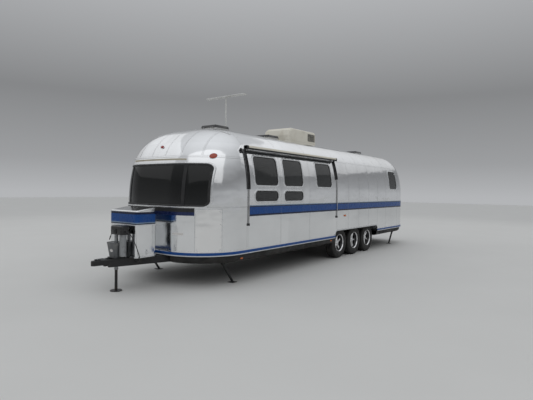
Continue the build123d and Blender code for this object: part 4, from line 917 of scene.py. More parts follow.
# Strips and rivets that follow the skin
def ribbon(points, half_width, low, high):
    """A thin bar laid along points of the skin, standing from low to high above it."""
    points = np.asarray(points, float)
    facing = normals_at(points)
    ways = np.gradient(points, axis=0)
    across = np.cross(ways, facing)
    across /= np.linalg.norm(across, axis=1)[:, None]
    profile = bar(half_width, low, high, min(0.0015, (high - low) / 3))
    rows = [points + across * reach + facing * height for reach, height in profile]
    return np.stack(rows, 1).reshape(-1, 3), capped(len(points), len(profile))


def wall_line(side, distance_behind, low, high, count=34):
    """A level place's line up one side wall."""
    heights = np.linspace(low, high, count)
    return on_side(side)(distance_behind, heights)


def over_roof(distance_behind, foot=ROOF_SEAM, count=52):
    """The skin's line over the roof at one place, from the street side's seam to the curb side's."""
    centre = 1.35
    edge = on_side(1)(distance_behind, foot)
    start = math.atan2(foot - centre, edge[..., 0].item())
    angles = np.linspace(start, math.pi - start, count)
    low, high = np.zeros(count), np.full(count, 2.2)
    for _ in range(40):
        reach = (low + high) / 2
        x, z = reach * np.cos(angles), centre + reach * np.sin(angles)
        points = np.stack([x, np.full(count, FRONT + distance_behind), z], -1)
        inside = (distance(points) < 0) & (points[:, 2] < ROOF_TOP)
        low, high = np.where(inside, reach, low), np.where(inside, high, reach)
    return points


def gore(end, foot_x, top_x, low, count=40):
    """A dome seam, from its foot on the end over the dome to the cap's seam, closing in as it rises."""
    foot = on_end(end)(foot_x, low)
    share = np.linspace(0, 1, count) ** 1.8
    reach = abs(foot[..., 1].item() - MIDDLE) * (1 - share) + (LENGTH / 2 - CAP_LENGTH) * share
    return on_roof(foot_x + (top_x - foot_x) * share, MIDDLE + end * reach - FRONT)


def paced(points, pitch, margin=0.02):
    """Evenly spaced points along a line."""
    points = np.asarray(points, float)
    steps = np.linalg.norm(np.diff(points, axis=0), axis=1)
    ways = np.concatenate([[0], np.cumsum(steps)])
    count = max(2, int((ways[-1] - 2 * margin) / pitch) + 1)
    places = np.linspace(margin, ways[-1] - margin, count)
    return np.stack([np.interp(places, ways, points[:, axis]) for axis in range(3)], -1)


def rivet_tree(material):
    """Places a low domed head on each point, square to the skin."""
    tree = bpy.data.node_groups.new("rivet_rows", "GeometryNodeTree")
    sockets = tree.interface
    for name, kind in (("Geometry", "Geometry"), ("Head Radius", "Float"), ("Head Height", "Float")):
        sockets.new_socket(name, in_out="INPUT", socket_type=f"NodeSocket{kind}")
    sockets.new_socket("Geometry", in_out="OUTPUT", socket_type="NodeSocketGeometry")
    inlet, outlet = tree.nodes.new("NodeGroupInput"), tree.nodes.new("NodeGroupOutput")
    head = node(
        tree, "GeometryNodeMeshCone", Vertices=8, Radius_Bottom=inlet.outputs["Head Radius"],
        Depth=inlet.outputs["Head Height"],
    )
    crown = maths(tree, "MULTIPLY", inlet.outputs["Head Radius"], 0.5)
    tree.links.new(crown, head.inputs["Radius Top"])
    facing = tree.nodes.new("GeometryNodeInputNamedAttribute")
    facing.data_type = "FLOAT_VECTOR"
    facing.inputs["Name"].default_value = "facing"
    turn = tree.nodes.new("FunctionNodeAlignRotationToVector")
    turn.axis = "Z"
    tree.links.new(facing.outputs["Attribute"], turn.inputs["Vector"])
    heads = node(
        tree, "GeometryNodeInstanceOnPoints", Points=inlet.outputs["Geometry"], Instance=head.outputs["Mesh"],
        Rotation=turn.outputs[0],
    )
    real = node(tree, "GeometryNodeRealizeInstances", Geometry=heads.outputs[0])
    finish = node(tree, "GeometryNodeSetMaterial", Geometry=real.outputs[0], Material=material)
    tree.links.new(finish.outputs[0], outlet.inputs[0])
    return tree


def grown(name, mesh, tree, values, material, **options):
    """A plain mesh made from a mesh by a node tree, with the tree's inputs set by name."""
    seed = placed_object("seed", mesh)
    grower = seed.modifiers.new("grow", "NODES")
    grower.node_group = tree
    for item in tree.interface.items_tree:
        if item.name in values:
            grower[item.identifier] = values[item.name]
    result = applied(seed)
    bpy.data.objects.remove(seed)
    result.materials.clear()
    return finish_piece(name, result, (material,), **options)


rivet_heads = rivet_tree(rivet_metal)
RIVET_PITCH = 0.038
RIVET_HEAD = {"Head Radius": 0.0052, "Head Height": 0.0022}
SCREW_HEAD = {"Head Radius": 0.0042, "Head Height": 0.0018}
BOLT_HEAD = {"Head Radius": 0.008, "Head Height": 0.004}


def rivets(name, rows, head=RIVET_HEAD, lift=0.0, body="caravan"):
    """Rows of rivet heads on the skin."""
    points = np.vstack(rows)
    facing = normals_at(points)
    points = points + facing * lift
    mesh = bpy.data.meshes.new(name)
    mesh.from_pydata([tuple(p) for p in points], [], [])
    mesh.attributes.new("facing", "FLOAT_VECTOR", "POINT").data.foreach_set("vector", facing.ravel())
    return grown(name, mesh, rivet_heads, head, rivet_metal, body=body, angle=50, slot="aluminium_trim")


# Window glass and frames
GLASS_DEPTHS = (0.006, 0.012)
glass_shell = shell(*GLASS_DEPTHS)
SIDE_WINDOWS = {1: STREET_WINDOWS, -1: CURB_WINDOWS}
SCREW_PITCH = 0.075
SIDE_SCREWS = 0.035
END_SCREWS = 0.037
pane_tools = {
    "front": [end_tool(-1, (*pane, *FRONT_WINDOW[2:]), 0, PANE_CORNER) for pane in FRONT_PANES],
    "rear": [end_tool(1, REAR_WINDOW)],
    "side": [side_tool(side, window) for side, windows in SIDE_WINDOWS.items() for window in windows],
}
for place, tools in pane_tools.items():
    panes = kept_in(glass_shell, *tools)
    tint = side_tint if place == "side" else tinted_glass
    skin_piece(
        f"{place}_panes", panes, GLASS_DEPTHS, (tint, tint, gasket),
        replaces=(f"{place}_glass",), slot="dark_glass",
    )

# A pressed frame with a raised bead, its screws, and the black gasket that holds the glass
FRAME_PROFILE = (  # columns here and in the next three: way out of the path, height above the skin
    (0.006, -0.016), (0.0435, -0.016), (0.0435, 0.001), (0.041, 0.0035), (0.031, 0.0040), (0.027, 0.0075),
    (0.022, 0.0088), (0.013, 0.0088), (0.009, 0.0075), (0.006, 0.0040),
)
SLIM_PROFILE = (
    (0.020, -0.016), (0.0435, -0.016), (0.0435, 0.001), (0.041, 0.0045), (0.036, 0.0080), (0.028, 0.0085),
    (0.022, 0.0065), (0.020, 0.0030),
)
GASKET_PROFILE = (
    (-0.009, -0.0145), (0.0065, -0.0145), (0.0065, 0.0035), (0.002, 0.0045), (-0.006, -0.002),
    (-0.009, -0.0055),
)
WIDE_GASKET = (
    (-0.009, -0.0145), (0.0205, -0.0145), (0.0205, 0.0030), (0.004, 0.0035), (-0.006, -0.002),
    (-0.009, -0.0055),
)
screw_rows = []
for side, word in SIDES:
    for i, window in enumerate(SIDE_WINDOWS[side]):
        path = rounded(*window, GLASS_CORNER, 8, 0.12)
        trim(f"{word}_window_frame_{i + 1}", path, on_side(side), FRAME_PROFILE, **METAL_TRIM)
        trim(f"{word}_window_gasket_{i + 1}", path, on_side(side), GASKET_PROFILE, (gasket,))
        screws = rounded(*widened(window, SIDE_SCREWS), GLASS_CORNER + SIDE_SCREWS, 8, SCREW_PITCH)
        screw_rows.append(on_side(side)(*screws.T))
for end, word, window in ((-1, "front", FRONT_WINDOW), (1, "rear", REAR_WINDOW)):
    path = rounded(*window, GLASS_CORNER, 8, 0.05)
    trim(f"{word}_window_frame", path, on_end(end), SLIM_PROFILE, **METAL_TRIM)
    trim(f"{word}_window_gasket", path, on_end(end), WIDE_GASKET, (gasket,))
    screws = rounded(*widened(window, END_SCREWS), GLASS_CORNER + END_SCREWS, 8, SCREW_PITCH)
    screw_rows.append(on_end(end)(*screws.T))
rivets("window_screws", screw_rows, SCREW_HEAD, 0.0036)
for side, word in SIDES:
    line = [(side * 0.670, z) for z in np.linspace(FRONT_WINDOW[2] - 0.010, FRONT_WINDOW[3] + 0.010, 14)]
    profile = bar(0.028, -0.0140, 0.0015)
    strip(f"front_window_divider_{word}", line, on_end(-1), profile, (gasket,))
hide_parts("window_frames")

# Pale slatted blinds just inside the street side's glass, each let down part of the way
BLINDS = (  # columns: start and end behind the front, bottom, top
    (1.470, 1.935, 1.380, 1.590),
    (2.116, 2.815, 1.480, 1.590),
    (1.215, 1.935, 2.085, 2.190),
    (2.116, 2.815, 2.060, 2.190),
    (3.348, 4.039, 2.075, 2.190),
)
SLAT = (0.016, 0.012, 0.0006)  # columns: pitch, half width, thickness
for i, (start, end, bottom, top) in enumerate(BLINDS):
    slats = []
    for height in np.arange(bottom, top, SLAT[0]):
        near = on_side(1)(start, height, -0.036).ravel()
        x, foot = near[0], near[1]
        rise = 0.8 * SLAT[1]
        section = (
            (x - SLAT[1], height), (x + 0.35 * SLAT[1], height + rise), (x + SLAT[1], height + 1.5 * rise)
        )
        under = [(u, v - SLAT[2]) for u, v in section[::-1]]
        outline = [*section, *under]
        slats.append(prism_form(outline, END_WAY, foot, foot + end - start))
    pieces_of(f"slat_blind_{i + 1}", slats, (blind_paint,))

# Stone guards: polished sheets that stand off the lower front corners, with folded edges
GUARD = (0.850, 0.483, 1.276)  # columns: start across the front, end behind it, top
GUARD_DEPTHS = (-0.005, 0.0)
guard_shell = shell(*GUARD_DEPTHS)
for side, word in SIDES:
    near, far = sorted((side * GUARD[0], side * BIG))
    zone = slab((near, FRONT - 0.1, FLOOR_TOP + 0.001), (far, FRONT + GUARD[1], GUARD[2]), 0)
    sheet = kept_in(guard_shell, zone)
    skin_piece(
        f"stone_guard_{word}", sheet, GUARD_DEPTHS, (guard_metal, guard_metal, cut_edge),
        slot="aluminium_skin",
    )
    run = (GUARD[0] - EDGE_RUN) / PLAN_CORNER
    start = EDGE_RUN + PLAN_CORNER * math.asin(run)
    end = EDGE_RUN + PLAN_CORNER * math.acos(1 - GUARD[1] / PLAN_CORNER)
    path = rounded(start, end, FLOOR_TOP + 0.006, GUARD[2], 0.012, 3, 0.04)
    edge = ((-0.012, 0.004), (0.001, -0.001), (0.003, 0.002), (0.001, 0.0078), (-0.010, 0.0078))
    trim(f"stone_guard_edge_{word}", path, round_wall(side), edge, **METAL_TRIM)
    bolts = rounded(start + 0.030, end - 0.030, FLOOR_TOP + 0.035, GUARD[2] - 0.030, 0.02, 2, 0.2)
    rivets(f"stone_guard_bolts_{word}", [round_wall(side)(*bolts.T)], BOLT_HEAD, 0.0078)
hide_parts("stone_guards")

# Entry door: its skin, frame, window, handle and hinges
HINGE_X = WIDTH / 2 + 0.011
HINGE_Y = FRONT + DOOR[0] - DOOR_GAP / 2
HINGE_HEIGHTS = (0.740, 1.110, 1.480)
HINGE_LENGTH = 0.044
swing = lathe(((-1.2, 0.687), (1.2, 0.687)), (-HINGE_X, HINGE_Y, 1.4), UP, 240)
door_mesh = kept_in(kept_in(skin, side_tool(-1, DOOR, 0, DOOR_CORNER)), swing)
door_mesh = cut_by(door_mesh, side_tool(-1, DOOR_GLASS))
skin_piece("door_skin", door_mesh, body="entry_door", replaces=("entry_door",), **SHEET)
door_pane = kept_in(glass_shell, side_tool(-1, DOOR_GLASS))
skin_piece(
    "door_pane", door_pane, GLASS_DEPTHS, (tinted_glass, tinted_glass, gasket), body="entry_door",
    replaces=("entry_door_glass",), slot="dark_glass",
)
door_trim = {"body": "entry_door", **METAL_TRIM}
path = rounded(*DOOR_GLASS, GLASS_CORNER, 8, 0.1)
DOOR_WINDOW_PROFILE = (
    (-0.006, -0.010), (0.002, -0.010), (0.002, -0.001), (0.030, -0.001), (0.030, 0.003), (0.024, 0.007),
    (0.006, 0.008), (-0.002, 0.005), (-0.006, -0.002),
)
trim("door_window_frame", path, on_side(-1), DOOR_WINDOW_PROFILE, **door_trim)
DOOR_RIM = 0.026
LATCH_RIM = 0.034
door_outline = (
    DOOR[0] + DOOR_RIM, DOOR[1] - LATCH_RIM, DOOR[2] + DOOR_RIM, DOOR[3] - DOOR_RIM, DOOR_CORNER - DOOR_RIM
)
path = rounded(*door_outline, 8, 0.1)
trim("door_frame", path, on_side(-1), bar(0.020, -0.0005, 0.0030), **door_trim)
path = rounded(*door_outline, 4, RIVET_PITCH)
rivets("door_rivets", [on_side(-1)(*path.T)], RIVET_HEAD, 0.0028, "entry_door")


def knuckle(height, way):
    """A hinge knuckle with its leaf, on the door, way 1, or on the wall, way -1."""
    low, high = height - HINGE_LENGTH / 2, height + HINGE_LENGTH / 2
    near, far = sorted((HINGE_Y, HINGE_Y + way * 0.046))
    barrel = ((low, 0.0075), (low + 0.0015, 0.009), (high - 0.0015, 0.009), (high, 0.0075))
    forms = [lathe(barrel, (-HINGE_X, HINGE_Y, 0), UP, 20)]
    forms.append(slab((CURB_FACE - 0.004, near, low), (CURB_FACE + 0.0005, far, high), 0.001, 1))
    screw = ((0, 0.0045), (0.0015, 0.0035))
    for z in (low + 0.011, high - 0.011):
        place = (CURB_FACE - 0.004, HINGE_Y + way * 0.030, z)
        forms.append(lathe(screw, place, (-1, 0, 0), 10))
    return forms


door_knuckles = [form for height in HINGE_HEIGHTS for form in knuckle(height, 1)]
wall_knuckles = []
for height in HINGE_HEIGHTS:
    for way in (-1, 1):
        wall_knuckles += knuckle(height + way * (HINGE_LENGTH + 0.001), -1)
pieces_of("door_hinge_leaves", door_knuckles, **door_trim)
pieces_of("wall_hinge_leaves", wall_knuckles, **METAL_TRIM)
HANDLE = (3.605, 3.675, 1.045, 1.195)  # columns: start and end behind the front, bottom, top
path = rounded(*HANDLE, 0.020, 6, 0.5)
plate = prism_form([(FRONT + u, v) for u, v in path], SIDE_WAY, CURB_FACE - 0.007, CURB_FACE + 0.001)
inset = rounded(HANDLE[0] + 0.011, HANDLE[1] - 0.011, HANDLE[2] + 0.046, HANDLE[3] - 0.012, 0.010, 5, 0.5)
paddle = prism_form([(FRONT + u, v) for u, v in inset], SIDE_WAY, CURB_FACE - 0.0105, CURB_FACE - 0.006)
lock_rows = ((0, 0.009), (0.003, 0.009), (0.0045, 0.0075))
lock = lathe(lock_rows, (CURB_FACE - 0.007, FRONT + 3.640, 1.068), (-1, 0, 0), 20)
pieces_of("door_handle_plate", [plate], **door_trim)
pieces_of("door_handle_paddle", [paddle, lock], (black_plastic,), body="entry_door")
GRAB = (3.800, 1.000, 1.420)  # columns: place behind the front, bottom, top
grab = [
    (CURB_FACE + 0.002, GRAB[1]), (CURB_FACE - 0.014, GRAB[1] + 0.003),
    (CURB_FACE - 0.021, GRAB[1] + 0.018),
]
grab += [
    (CURB_FACE - 0.021, GRAB[2] - 0.018), (CURB_FACE - 0.014, GRAB[2] - 0.003),
    (CURB_FACE + 0.002, GRAB[2]),
]
grab = [(x, FRONT + GRAB[0], z) for x, z in grab]
foot = ((0, 0.018), (0.004, 0.016))
feet = [lathe(foot, (CURB_FACE, FRONT + GRAB[0], z), (-1, 0, 0), 20) for z in GRAB[1:]]
pieces_of("grab_rail", [tube(grab, 0.007, 14), *feet], **METAL_TRIM)

# Rear locker door: its skin, frame, latches and hinges
locker_mesh = kept_in(skin, end_tool(1, LOCKER, 0, LOCKER_CORNER))
locker_trim = {"body": "rear_locker_door", **METAL_TRIM}
skin_piece("locker_skin", locker_mesh, body="rear_locker_door", replaces=("rear_locker_door",), **SHEET)
LOCKER_RIM = 0.022
path = rounded(*widened(LOCKER, -LOCKER_RIM), LOCKER_CORNER - LOCKER_RIM, 6, 0.05)
trim("locker_frame", path, on_end(1), bar(0.017, -0.0005, 0.0030), **locker_trim)
rivets("locker_rivets", [on_end(1)(*path.T)], RIVET_HEAD, 0.0028, "rear_locker_door")
LOCKER_AXIS = (REAR + 0.010, LOCKER[3] + LOCKER_GAP / 2)
forms = {-1: [], 1: []}
for place in (-0.300, 0.0, 0.300):
    for way in (-1, 1):
        for shift in (0,) if way < 0 else (-0.045, 0.045):
            left, right = place + shift - 0.022, place + shift + 0.022
            barrel = ((left, 0.0065), (left + 0.0015, 0.008), (right - 0.0015, 0.008), (right, 0.0065))
            low, high = sorted((LOCKER_AXIS[1], LOCKER_AXIS[1] + way * 0.030))
            forms[way].append(lathe(barrel, (0, *LOCKER_AXIS), (1, 0, 0), 20))
            forms[way].append(slab((left, REAR - 0.0005, low), (right, REAR + 0.004, high), 0.001, 1))
pieces_of("locker_hinge_leaves", forms[-1], **locker_trim)
pieces_of("rear_wall_hinge_leaves", forms[1], **METAL_TRIM)
latches = []
for x in (-0.36, 0.36):
    cup = ((0, 0.024), (0.004, 0.022), (0.004, 0.017), (0.002, 0.015), (0.002, 0.011), (0.0055, 0.009))
    base = on_end(1)(x, 0.715)
    facing = normals_at(base)[0]
    latches.append(lathe(cup, base.ravel() - facing * 0.0005, facing, 24))
pieces_of("locker_latches", latches, **locker_trim)

# Belt stripes along both sides, with a navy upright at their front ends; the curb side's parts at the door
STRIPE_START = 1.065
LAMP_EDGE = 0.960
rear_turn = math.acos((LAMP_EDGE - EDGE_RUN) / PLAN_CORNER)
STRIPE_END = EDGE_RUN + BEND_RUN + FLANK_RUN + PLAN_CORNER * rear_turn
belt_middle, belt_half = (BELT[0] + BELT[1]) / 2, (BELT[1] - BELT[0]) / 2
FILM = (-0.0006, 0.0021)  # columns: under and over the skin


def stripe(name, side, start, end, **options):
    """A length of the belt stripe along the round wall."""
    runs = np.arange(start, end, 0.06)
    line = [(run, belt_middle) for run in (*runs, end)]
    profile = bar(belt_half, *FILM, 0.0008)
    strip(name, line, round_wall(side), profile, (belt_paint,), **options)


stripe("belt_street", 1, run_to(STRIPE_START), STRIPE_END)
stripe("belt_curb_front", -1, run_to(STRIPE_START), run_to(DOOR[0] - DOOR_GAP) - 0.001)
stripe("belt_curb_rear", -1, run_to(DOOR[1] + DOOR_GAP) + 0.001, STRIPE_END)
stripe("belt_door", -1, run_to(DOOR[0]) + 0.047, run_to(DOOR[1]) - 0.055, body="entry_door")
for side, word in SIDES:
    line = [(run_to(STRIPE_START), z) for z in np.linspace(BELT[0] + 0.004, BELT[1] - 0.004, 6)]
    profile = bar(0.011, FILM[0], 0.0026, 0.0008)
    strip(f"belt_end_{word}", line, round_wall(side), profile, (navy_film,))

# Dark band under the front window
BAND = (0.846, 1.166, 1.285)  # columns: half width, bottom, top
for word, low, high, finish in (("lower", BAND[1], 1.222, band_blue), ("upper", 1.222, BAND[2], gasket)):
    line = [(x, (low + high) / 2) for x in np.linspace(-BAND[0], BAND[0], 40)]
    profile = bar((high - low) / 2, -0.0006, 0.0012, 0.0006)
    strip(f"front_band_{word}", line, on_end(-1), profile, (finish,))


# Wheel opening trim, round its top corners
def arch_path(start, end, low, top, corner, steps=8):
    """A line up one side of an opening, along its top and down the other side."""
    path = [(start, low)]
    for i in range(steps + 1):
        angle = math.pi / 2 * i / steps
        path.append((start + corner * (1 - math.cos(angle)), top - corner * (1 - math.sin(angle))))
    path += [(start + (end - start) * i / 20, top) for i in range(2, 19)]
    for i in range(steps + 1):
        angle = math.pi / 2 * i / steps
        path.append((end - corner * (1 - math.sin(angle)), top - corner * (1 - math.cos(angle))))
    return [*path, (end, low)]


ARCH_PROFILE = (  # columns: way in from the path, height above the skin
    (0.012, -0.0450), (0.007, -0.0450), (0.007, -0.001), (-0.018, -0.001), (-0.018, 0.0035), (0.008, 0.0060),
    (0.012, 0.0040),
)
path = arch_path(WELL[0] - 0.004, WELL[1] + 0.004, FLOOR_TOP + 0.002, OPENING_TOP + 0.006, OPENING_CORNER)
for side, word in SIDES:
    strip(f"wheel_arch_trim_{word}", path, on_side(side), ARCH_PROFILE, **METAL_TRIM)

# Lap seams: ribs up the walls and over the roof, the roof's edge seams, the caps' seams and the domes' gores
STREET_RIBS = (2.025, 3.080, 4.300, 4.900, 5.500, 6.100, 6.700, 7.300)
CURB_RIBS = (2.025, 4.130, 5.120, 5.500, 6.720, 7.300)
RIB = (0.0130, -0.0008, 0.0012)  # columns: half width, under and over the skin
GORES = ((0.170, 0.150), (0.520, 0.430), (0.850, 0.690))  # columns: place across at the foot, at the top
DOME_SEAM = 2.118
LOW_SEAM = (1.300, 1.055)  # columns: height, way across the front where it starts
FOOT_ROW = FLOOR_TOP + 0.022
WELL_CLEAR = (WELL[0] - 0.03, WELL[1] + 0.03)


def lap(line, half_width=RIB[0]):
    """A lap strip on a line of sealant that shows along both its edges."""
    laps.append(ribbon(line, half_width, *RIB[1:]))
    beads.append(ribbon(line, half_width + 0.0022, RIB[1], 0.0006))


def riveted_lap(line, word, half_width=RIB[0]):
    """A lap strip and its row of rivets, kept with those of a wall, the roof or an end."""
    lap(line, half_width)
    rows[word].append(paced(line, RIVET_PITCH))


laps, beads = [], []
rows = {"street": [], "curb": [], "roof": [], "front": [], "rear": []}
for side, word in SIDES:
    for place in STREET_RIBS if side > 0 else CURB_RIBS:
        low = OPENING_TOP + 0.028 if WELL_CLEAR[0] < place < WELL_CLEAR[1] else FLOOR_TOP + 0.002
        riveted_lap(wall_line(side, place, low, ROOF_SEAM), word)
for place in STREET_RIBS:
    riveted_lap(over_roof(place), "roof")
for side, word in SIDES:
    reach = np.arange(CAP_LENGTH, LENGTH - CAP_LENGTH + 0.01, 0.06)
    riveted_lap(on_side(side)(reach, ROOF_SEAM), word)
    for start, end in ((CAP_LENGTH, WELL_CLEAR[0]), (WELL_CLEAR[1], LENGTH - CAP_LENGTH)):
        reach = np.arange(start, end, 0.05)
        reach = reach if side > 0 else reach[(reach < DOOR[0] - 0.02) | (reach > DOOR[1] + 0.02)]
        rows[word].append(on_side(side)(reach, FOOT_ROW))
for end, word, place in ((-1, "front", CAP_LENGTH), (1, "rear", LENGTH - CAP_LENGTH)):
    line = np.vstack([
        wall_line(1, place, FLOOR_TOP + 0.002, ROOF_SEAM)[:-1], over_roof(place),
        wall_line(-1, place, FLOOR_TOP + 0.002, ROOF_SEAM)[::-1][1:],
    ])
    riveted_lap(line, word, 0.018)
    for foot_x, top_x in GORES:
        for x, x_top in ((foot_x, top_x), (-foot_x, -top_x)):
            riveted_lap(gore(end, x, x_top, DOME_SEAM), word, 0.010)
    for side in (1, -1):
        runs = np.linspace(0, run_to(CAP_LENGTH), 90)
        line = round_wall(side)(runs, DOME_SEAM)
        foot = round_wall(side)(runs, FOOT_ROW)
        for row in (line, foot):
            if end > 0:
                row[:, 1] = 2 * MIDDLE - row[:, 1]
        riveted_lap(line, word)
        foot = paced(foot, RIVET_PITCH)
        guarded = (np.abs(foot[:, 0]) > GUARD[0] - 0.015) & (foot[:, 1] < FRONT + GUARD[1] + 0.015)
        rows[word].append(foot[~guarded])
    if end < 0:
        for side in (1, -1):
            runs = np.linspace(LOW_SEAM[1] + 0.02, run_to(STRIPE_START) - 0.012, 50)
            lap(round_wall(side)(runs, LOW_SEAM[0]), 0.006)
pieces_of("lap_seams", laps, (polished,), slot="aluminium_skin", angle=40)
pieces_of("lap_sealant", beads, (sealant,), slot="aluminium_trim", angle=40)
for word, lines in rows.items():
    rivets(f"{word}_rivets", lines, RIVET_HEAD, 0.0010)

# Wheels: tyres with grooved and notched treads on five-spoke rims with painted shade inside their barrels,
# each wheel turning as one body
WHEEL_RADIUS = 0.360
WHEEL_PLANE = 1.010
WHEEL_PLACES = tuple(LENGTH - 4.587 + 0.808 * i for i in range(3))
TREAD_STEPS = 240
NOTCH_EVERY = 4
TYRE_SIDE = (  # columns: way out from the wheel's middle plane, radius
    (0.0820, 0.1935), (0.0905, 0.1940), (0.0912, 0.2075), (0.0975, 0.2120), (0.1040, 0.2220),
    (0.1085, 0.2400), (0.1110, 0.2600), (0.1120, 0.2700), (0.1122, 0.2860), (0.1106, 0.2870),
    (0.1104, 0.2920), (0.1080, 0.3080), (0.1040, 0.3270), (0.0990, 0.3400),
)
TREAD_SIDE = (  # columns: way out from the middle plane, radius, depth of the notches across it
    (0.0925, 0.3515, 0.0060), (0.0860, 0.3560, 0.0065), (0.0680, 0.3580, 0.0065), (0.0660, 0.3510, 0.0),
    (0.0590, 0.3510, 0.0), (0.0570, 0.3590, 0.0020), (0.0290, 0.3597, 0.0020), (0.0270, 0.3520, 0.0),
    (0.0200, 0.3520, 0.0), (0.0180, 0.3600, 0.0), (0.0, 0.3600, 0.0),
)


def ring_form(profile, centre, axis, steps=72, notch=None):
    """A closed ring turned about an axis; notch gives each point's drop in radius at every fourth step."""
    axis, across, other = axis_frame(axis)
    centre = Vector(centre)
    points = []
    for i in range(steps):
        angle = 2 * math.pi * i / steps
        way = across * math.cos(angle) + other * math.sin(angle)
        for j, (reach, radius) in enumerate(profile):
            drop = notch[j] if notch and i % NOTCH_EVERY == 0 else 0.0
            points.append(centre + axis * reach + way * (radius - drop))
    return points, quads(steps, len(profile), True, True)


tyre_profile, tyre_notch = [], []
for way in (1, -1):
    side_rows = [(way * x, r, 0.0) for x, r in TYRE_SIDE] + [(way * x, r, d) for x, r, d in TREAD_SIDE]
    side_rows = side_rows if way > 0 else side_rows[-2::-1]
    tyre_profile += [row[:2] for row in side_rows]
    tyre_notch += [row[2] for row in side_rows]

RIM_RING = (  # columns: way out from the wheel's middle plane, radius
    (-0.1015, 0.179), (-0.1015, 0.204), (-0.0940, 0.205), (-0.0915, 0.193), (0.0915, 0.193),
    (0.0945, 0.2045), (0.0985, 0.2065), (0.1025, 0.2030), (0.1025, 0.1985), (0.0985, 0.1945),
    (0.0915, 0.1870), (0.0600, 0.1745), (0.0470, 0.1660), (0.0420, 0.1625), (0.0340, 0.1640),
    (0.0120, 0.1740), (-0.0850, 0.1780),
)
HUB = ((0.010, 0.068), (0.036, 0.066), (0.041, 0.060), (0.042, 0.040), (0.046, 0.034), (0.046, 0.001))
CAP = ((0.044, 0.0300), (0.048, 0.0290), (0.0530, 0.0240), (0.0555, 0.0150), (0.0560, 0.001))
NUT = ((0.038, 0.0095), (0.048, 0.0095), (0.0505, 0.0070))
VALVE = ((0, 0.004), (0.022, 0.0035), (0.028, 0.0025))
DRUM = (
    (-0.085, 0.141), (-0.080, 0.145), (0.000, 0.145), (0.004, 0.137), (0.010, 0.133), (0.0112, 0.080),
    (0.0112, 0.001),
)
# A thin lining just inside the rim's barrel, painted dark as painted shade in the pockets between the spokes.
POCKET_SHADE = (  # columns: way out from the wheel's middle plane, radius
    (0.0870, 0.1846), (0.0600, 0.1738), (0.0470, 0.1653), (0.0418, 0.1618), (0.0340, 0.1633),
    (0.0120, 0.1733), (-0.0840, 0.1773), (-0.0840, 0.1790), (0.0120, 0.1750), (0.0340, 0.1660),
    (0.0420, 0.1650), (0.0470, 0.1680), (0.0600, 0.1760), (0.0870, 0.1860),
)
SPOKE_ROWS = (  # columns: radius, half width, height of the crown, drop of the edges
    (0.050, 0.0215, 0.0400, 0.0080), (0.070, 0.0245, 0.0400, 0.0100), (0.100, 0.0270, 0.0415, 0.0110),
    (0.130, 0.0310, 0.0435, 0.0110), (0.152, 0.0370, 0.0455, 0.0100), (0.168, 0.0480, 0.0475, 0.0080),
)


def radial(angle):
    """The way out from a wheel's axle at an angle."""
    return Vector((0, math.cos(angle), math.sin(angle)))


def spoke(centre, side, angle):
    """One crowned spoke, flared into the rim."""
    across = Vector((0, -math.sin(angle), math.cos(angle)))
    out = Vector((side, 0, 0))
    points = []
    for radius, half, crown, drop in SPOKE_ROWS:
        section = (
            (-half, 0.014), (half, 0.014), (half, crown - drop), (0.72 * half, crown - 0.25 * drop),
            (0.3 * half, crown), (-0.3 * half, crown), (-0.72 * half, crown - 0.25 * drop),
            (-half, crown - drop),
        )
        points += [centre + radial(angle) * radius + across * u + out * w for u, w in section]
    return points, capped(len(SPOKE_ROWS), len(section))


for side, word in SIDES:
    out = (side, 0, 0)
    for i, place in enumerate(WHEEL_PLACES):
        mark = f"{word}_{i + 1}"
        body = f"wheel_{mark}"
        centre = Vector((side * WHEEL_PLANE, FRONT + place, WHEEL_RADIUS))
        lean = 0.35 + 0.9 * i
        form = ring_form(tyre_profile, centre, out, TREAD_STEPS, tyre_notch)
        pieces_of(
            f"tyre_{mark}_tread", [form], (tyre_rubber,), body=body, angle=28,
            replaces=(f"tyre_{mark}",), slot="tyre_rubber",
        )
        alloy = [ring_form(RIM_RING, centre, out, 72), lathe(CAP, centre, out, 32)]
        alloy += [spoke(centre, side, lean + 2 * math.pi * k / 5) for k in range(5)]
        alloy.append(lathe(HUB, centre, out, 40))
        pieces_of(
            f"rim_{mark}_alloy", alloy, (wheel_alloy,), body=body, angle=30,
            replaces=(f"rim_{mark}",), slot="rim_alloy",
        )
        nuts = []
        for k in range(5):
            spot = centre + radial(lean + 2 * math.pi * (k + 0.5) / 5) * 0.050
            nuts.append(lathe(NUT, spot, out, 6))
        pieces_of(f"lug_nuts_{mark}", nuts, (galvanised,), body=body, angle=20, slot="rim_alloy")
        steel = {"body": body, "slot": "black_steel"}
        pieces_of(f"drum_{mark}", [lathe(DRUM, centre, out, 60)], (drum_iron,), **steel)
        # The lining inside the barrel carries the painted shade of the pockets.
        pieces_of(f"rim_pocket_shade_{mark}", [ring_form(POCKET_SHADE, centre, out, 72)], (pocket_painted_shade,), **steel)
        stem = centre + radial(lean + math.pi / 5) * 0.172 + Vector((side * 0.050, 0, 0))
        pieces_of(f"valve_{mark}", [lathe(VALVE, stem, out, 10)], (black_plastic,), body=body)

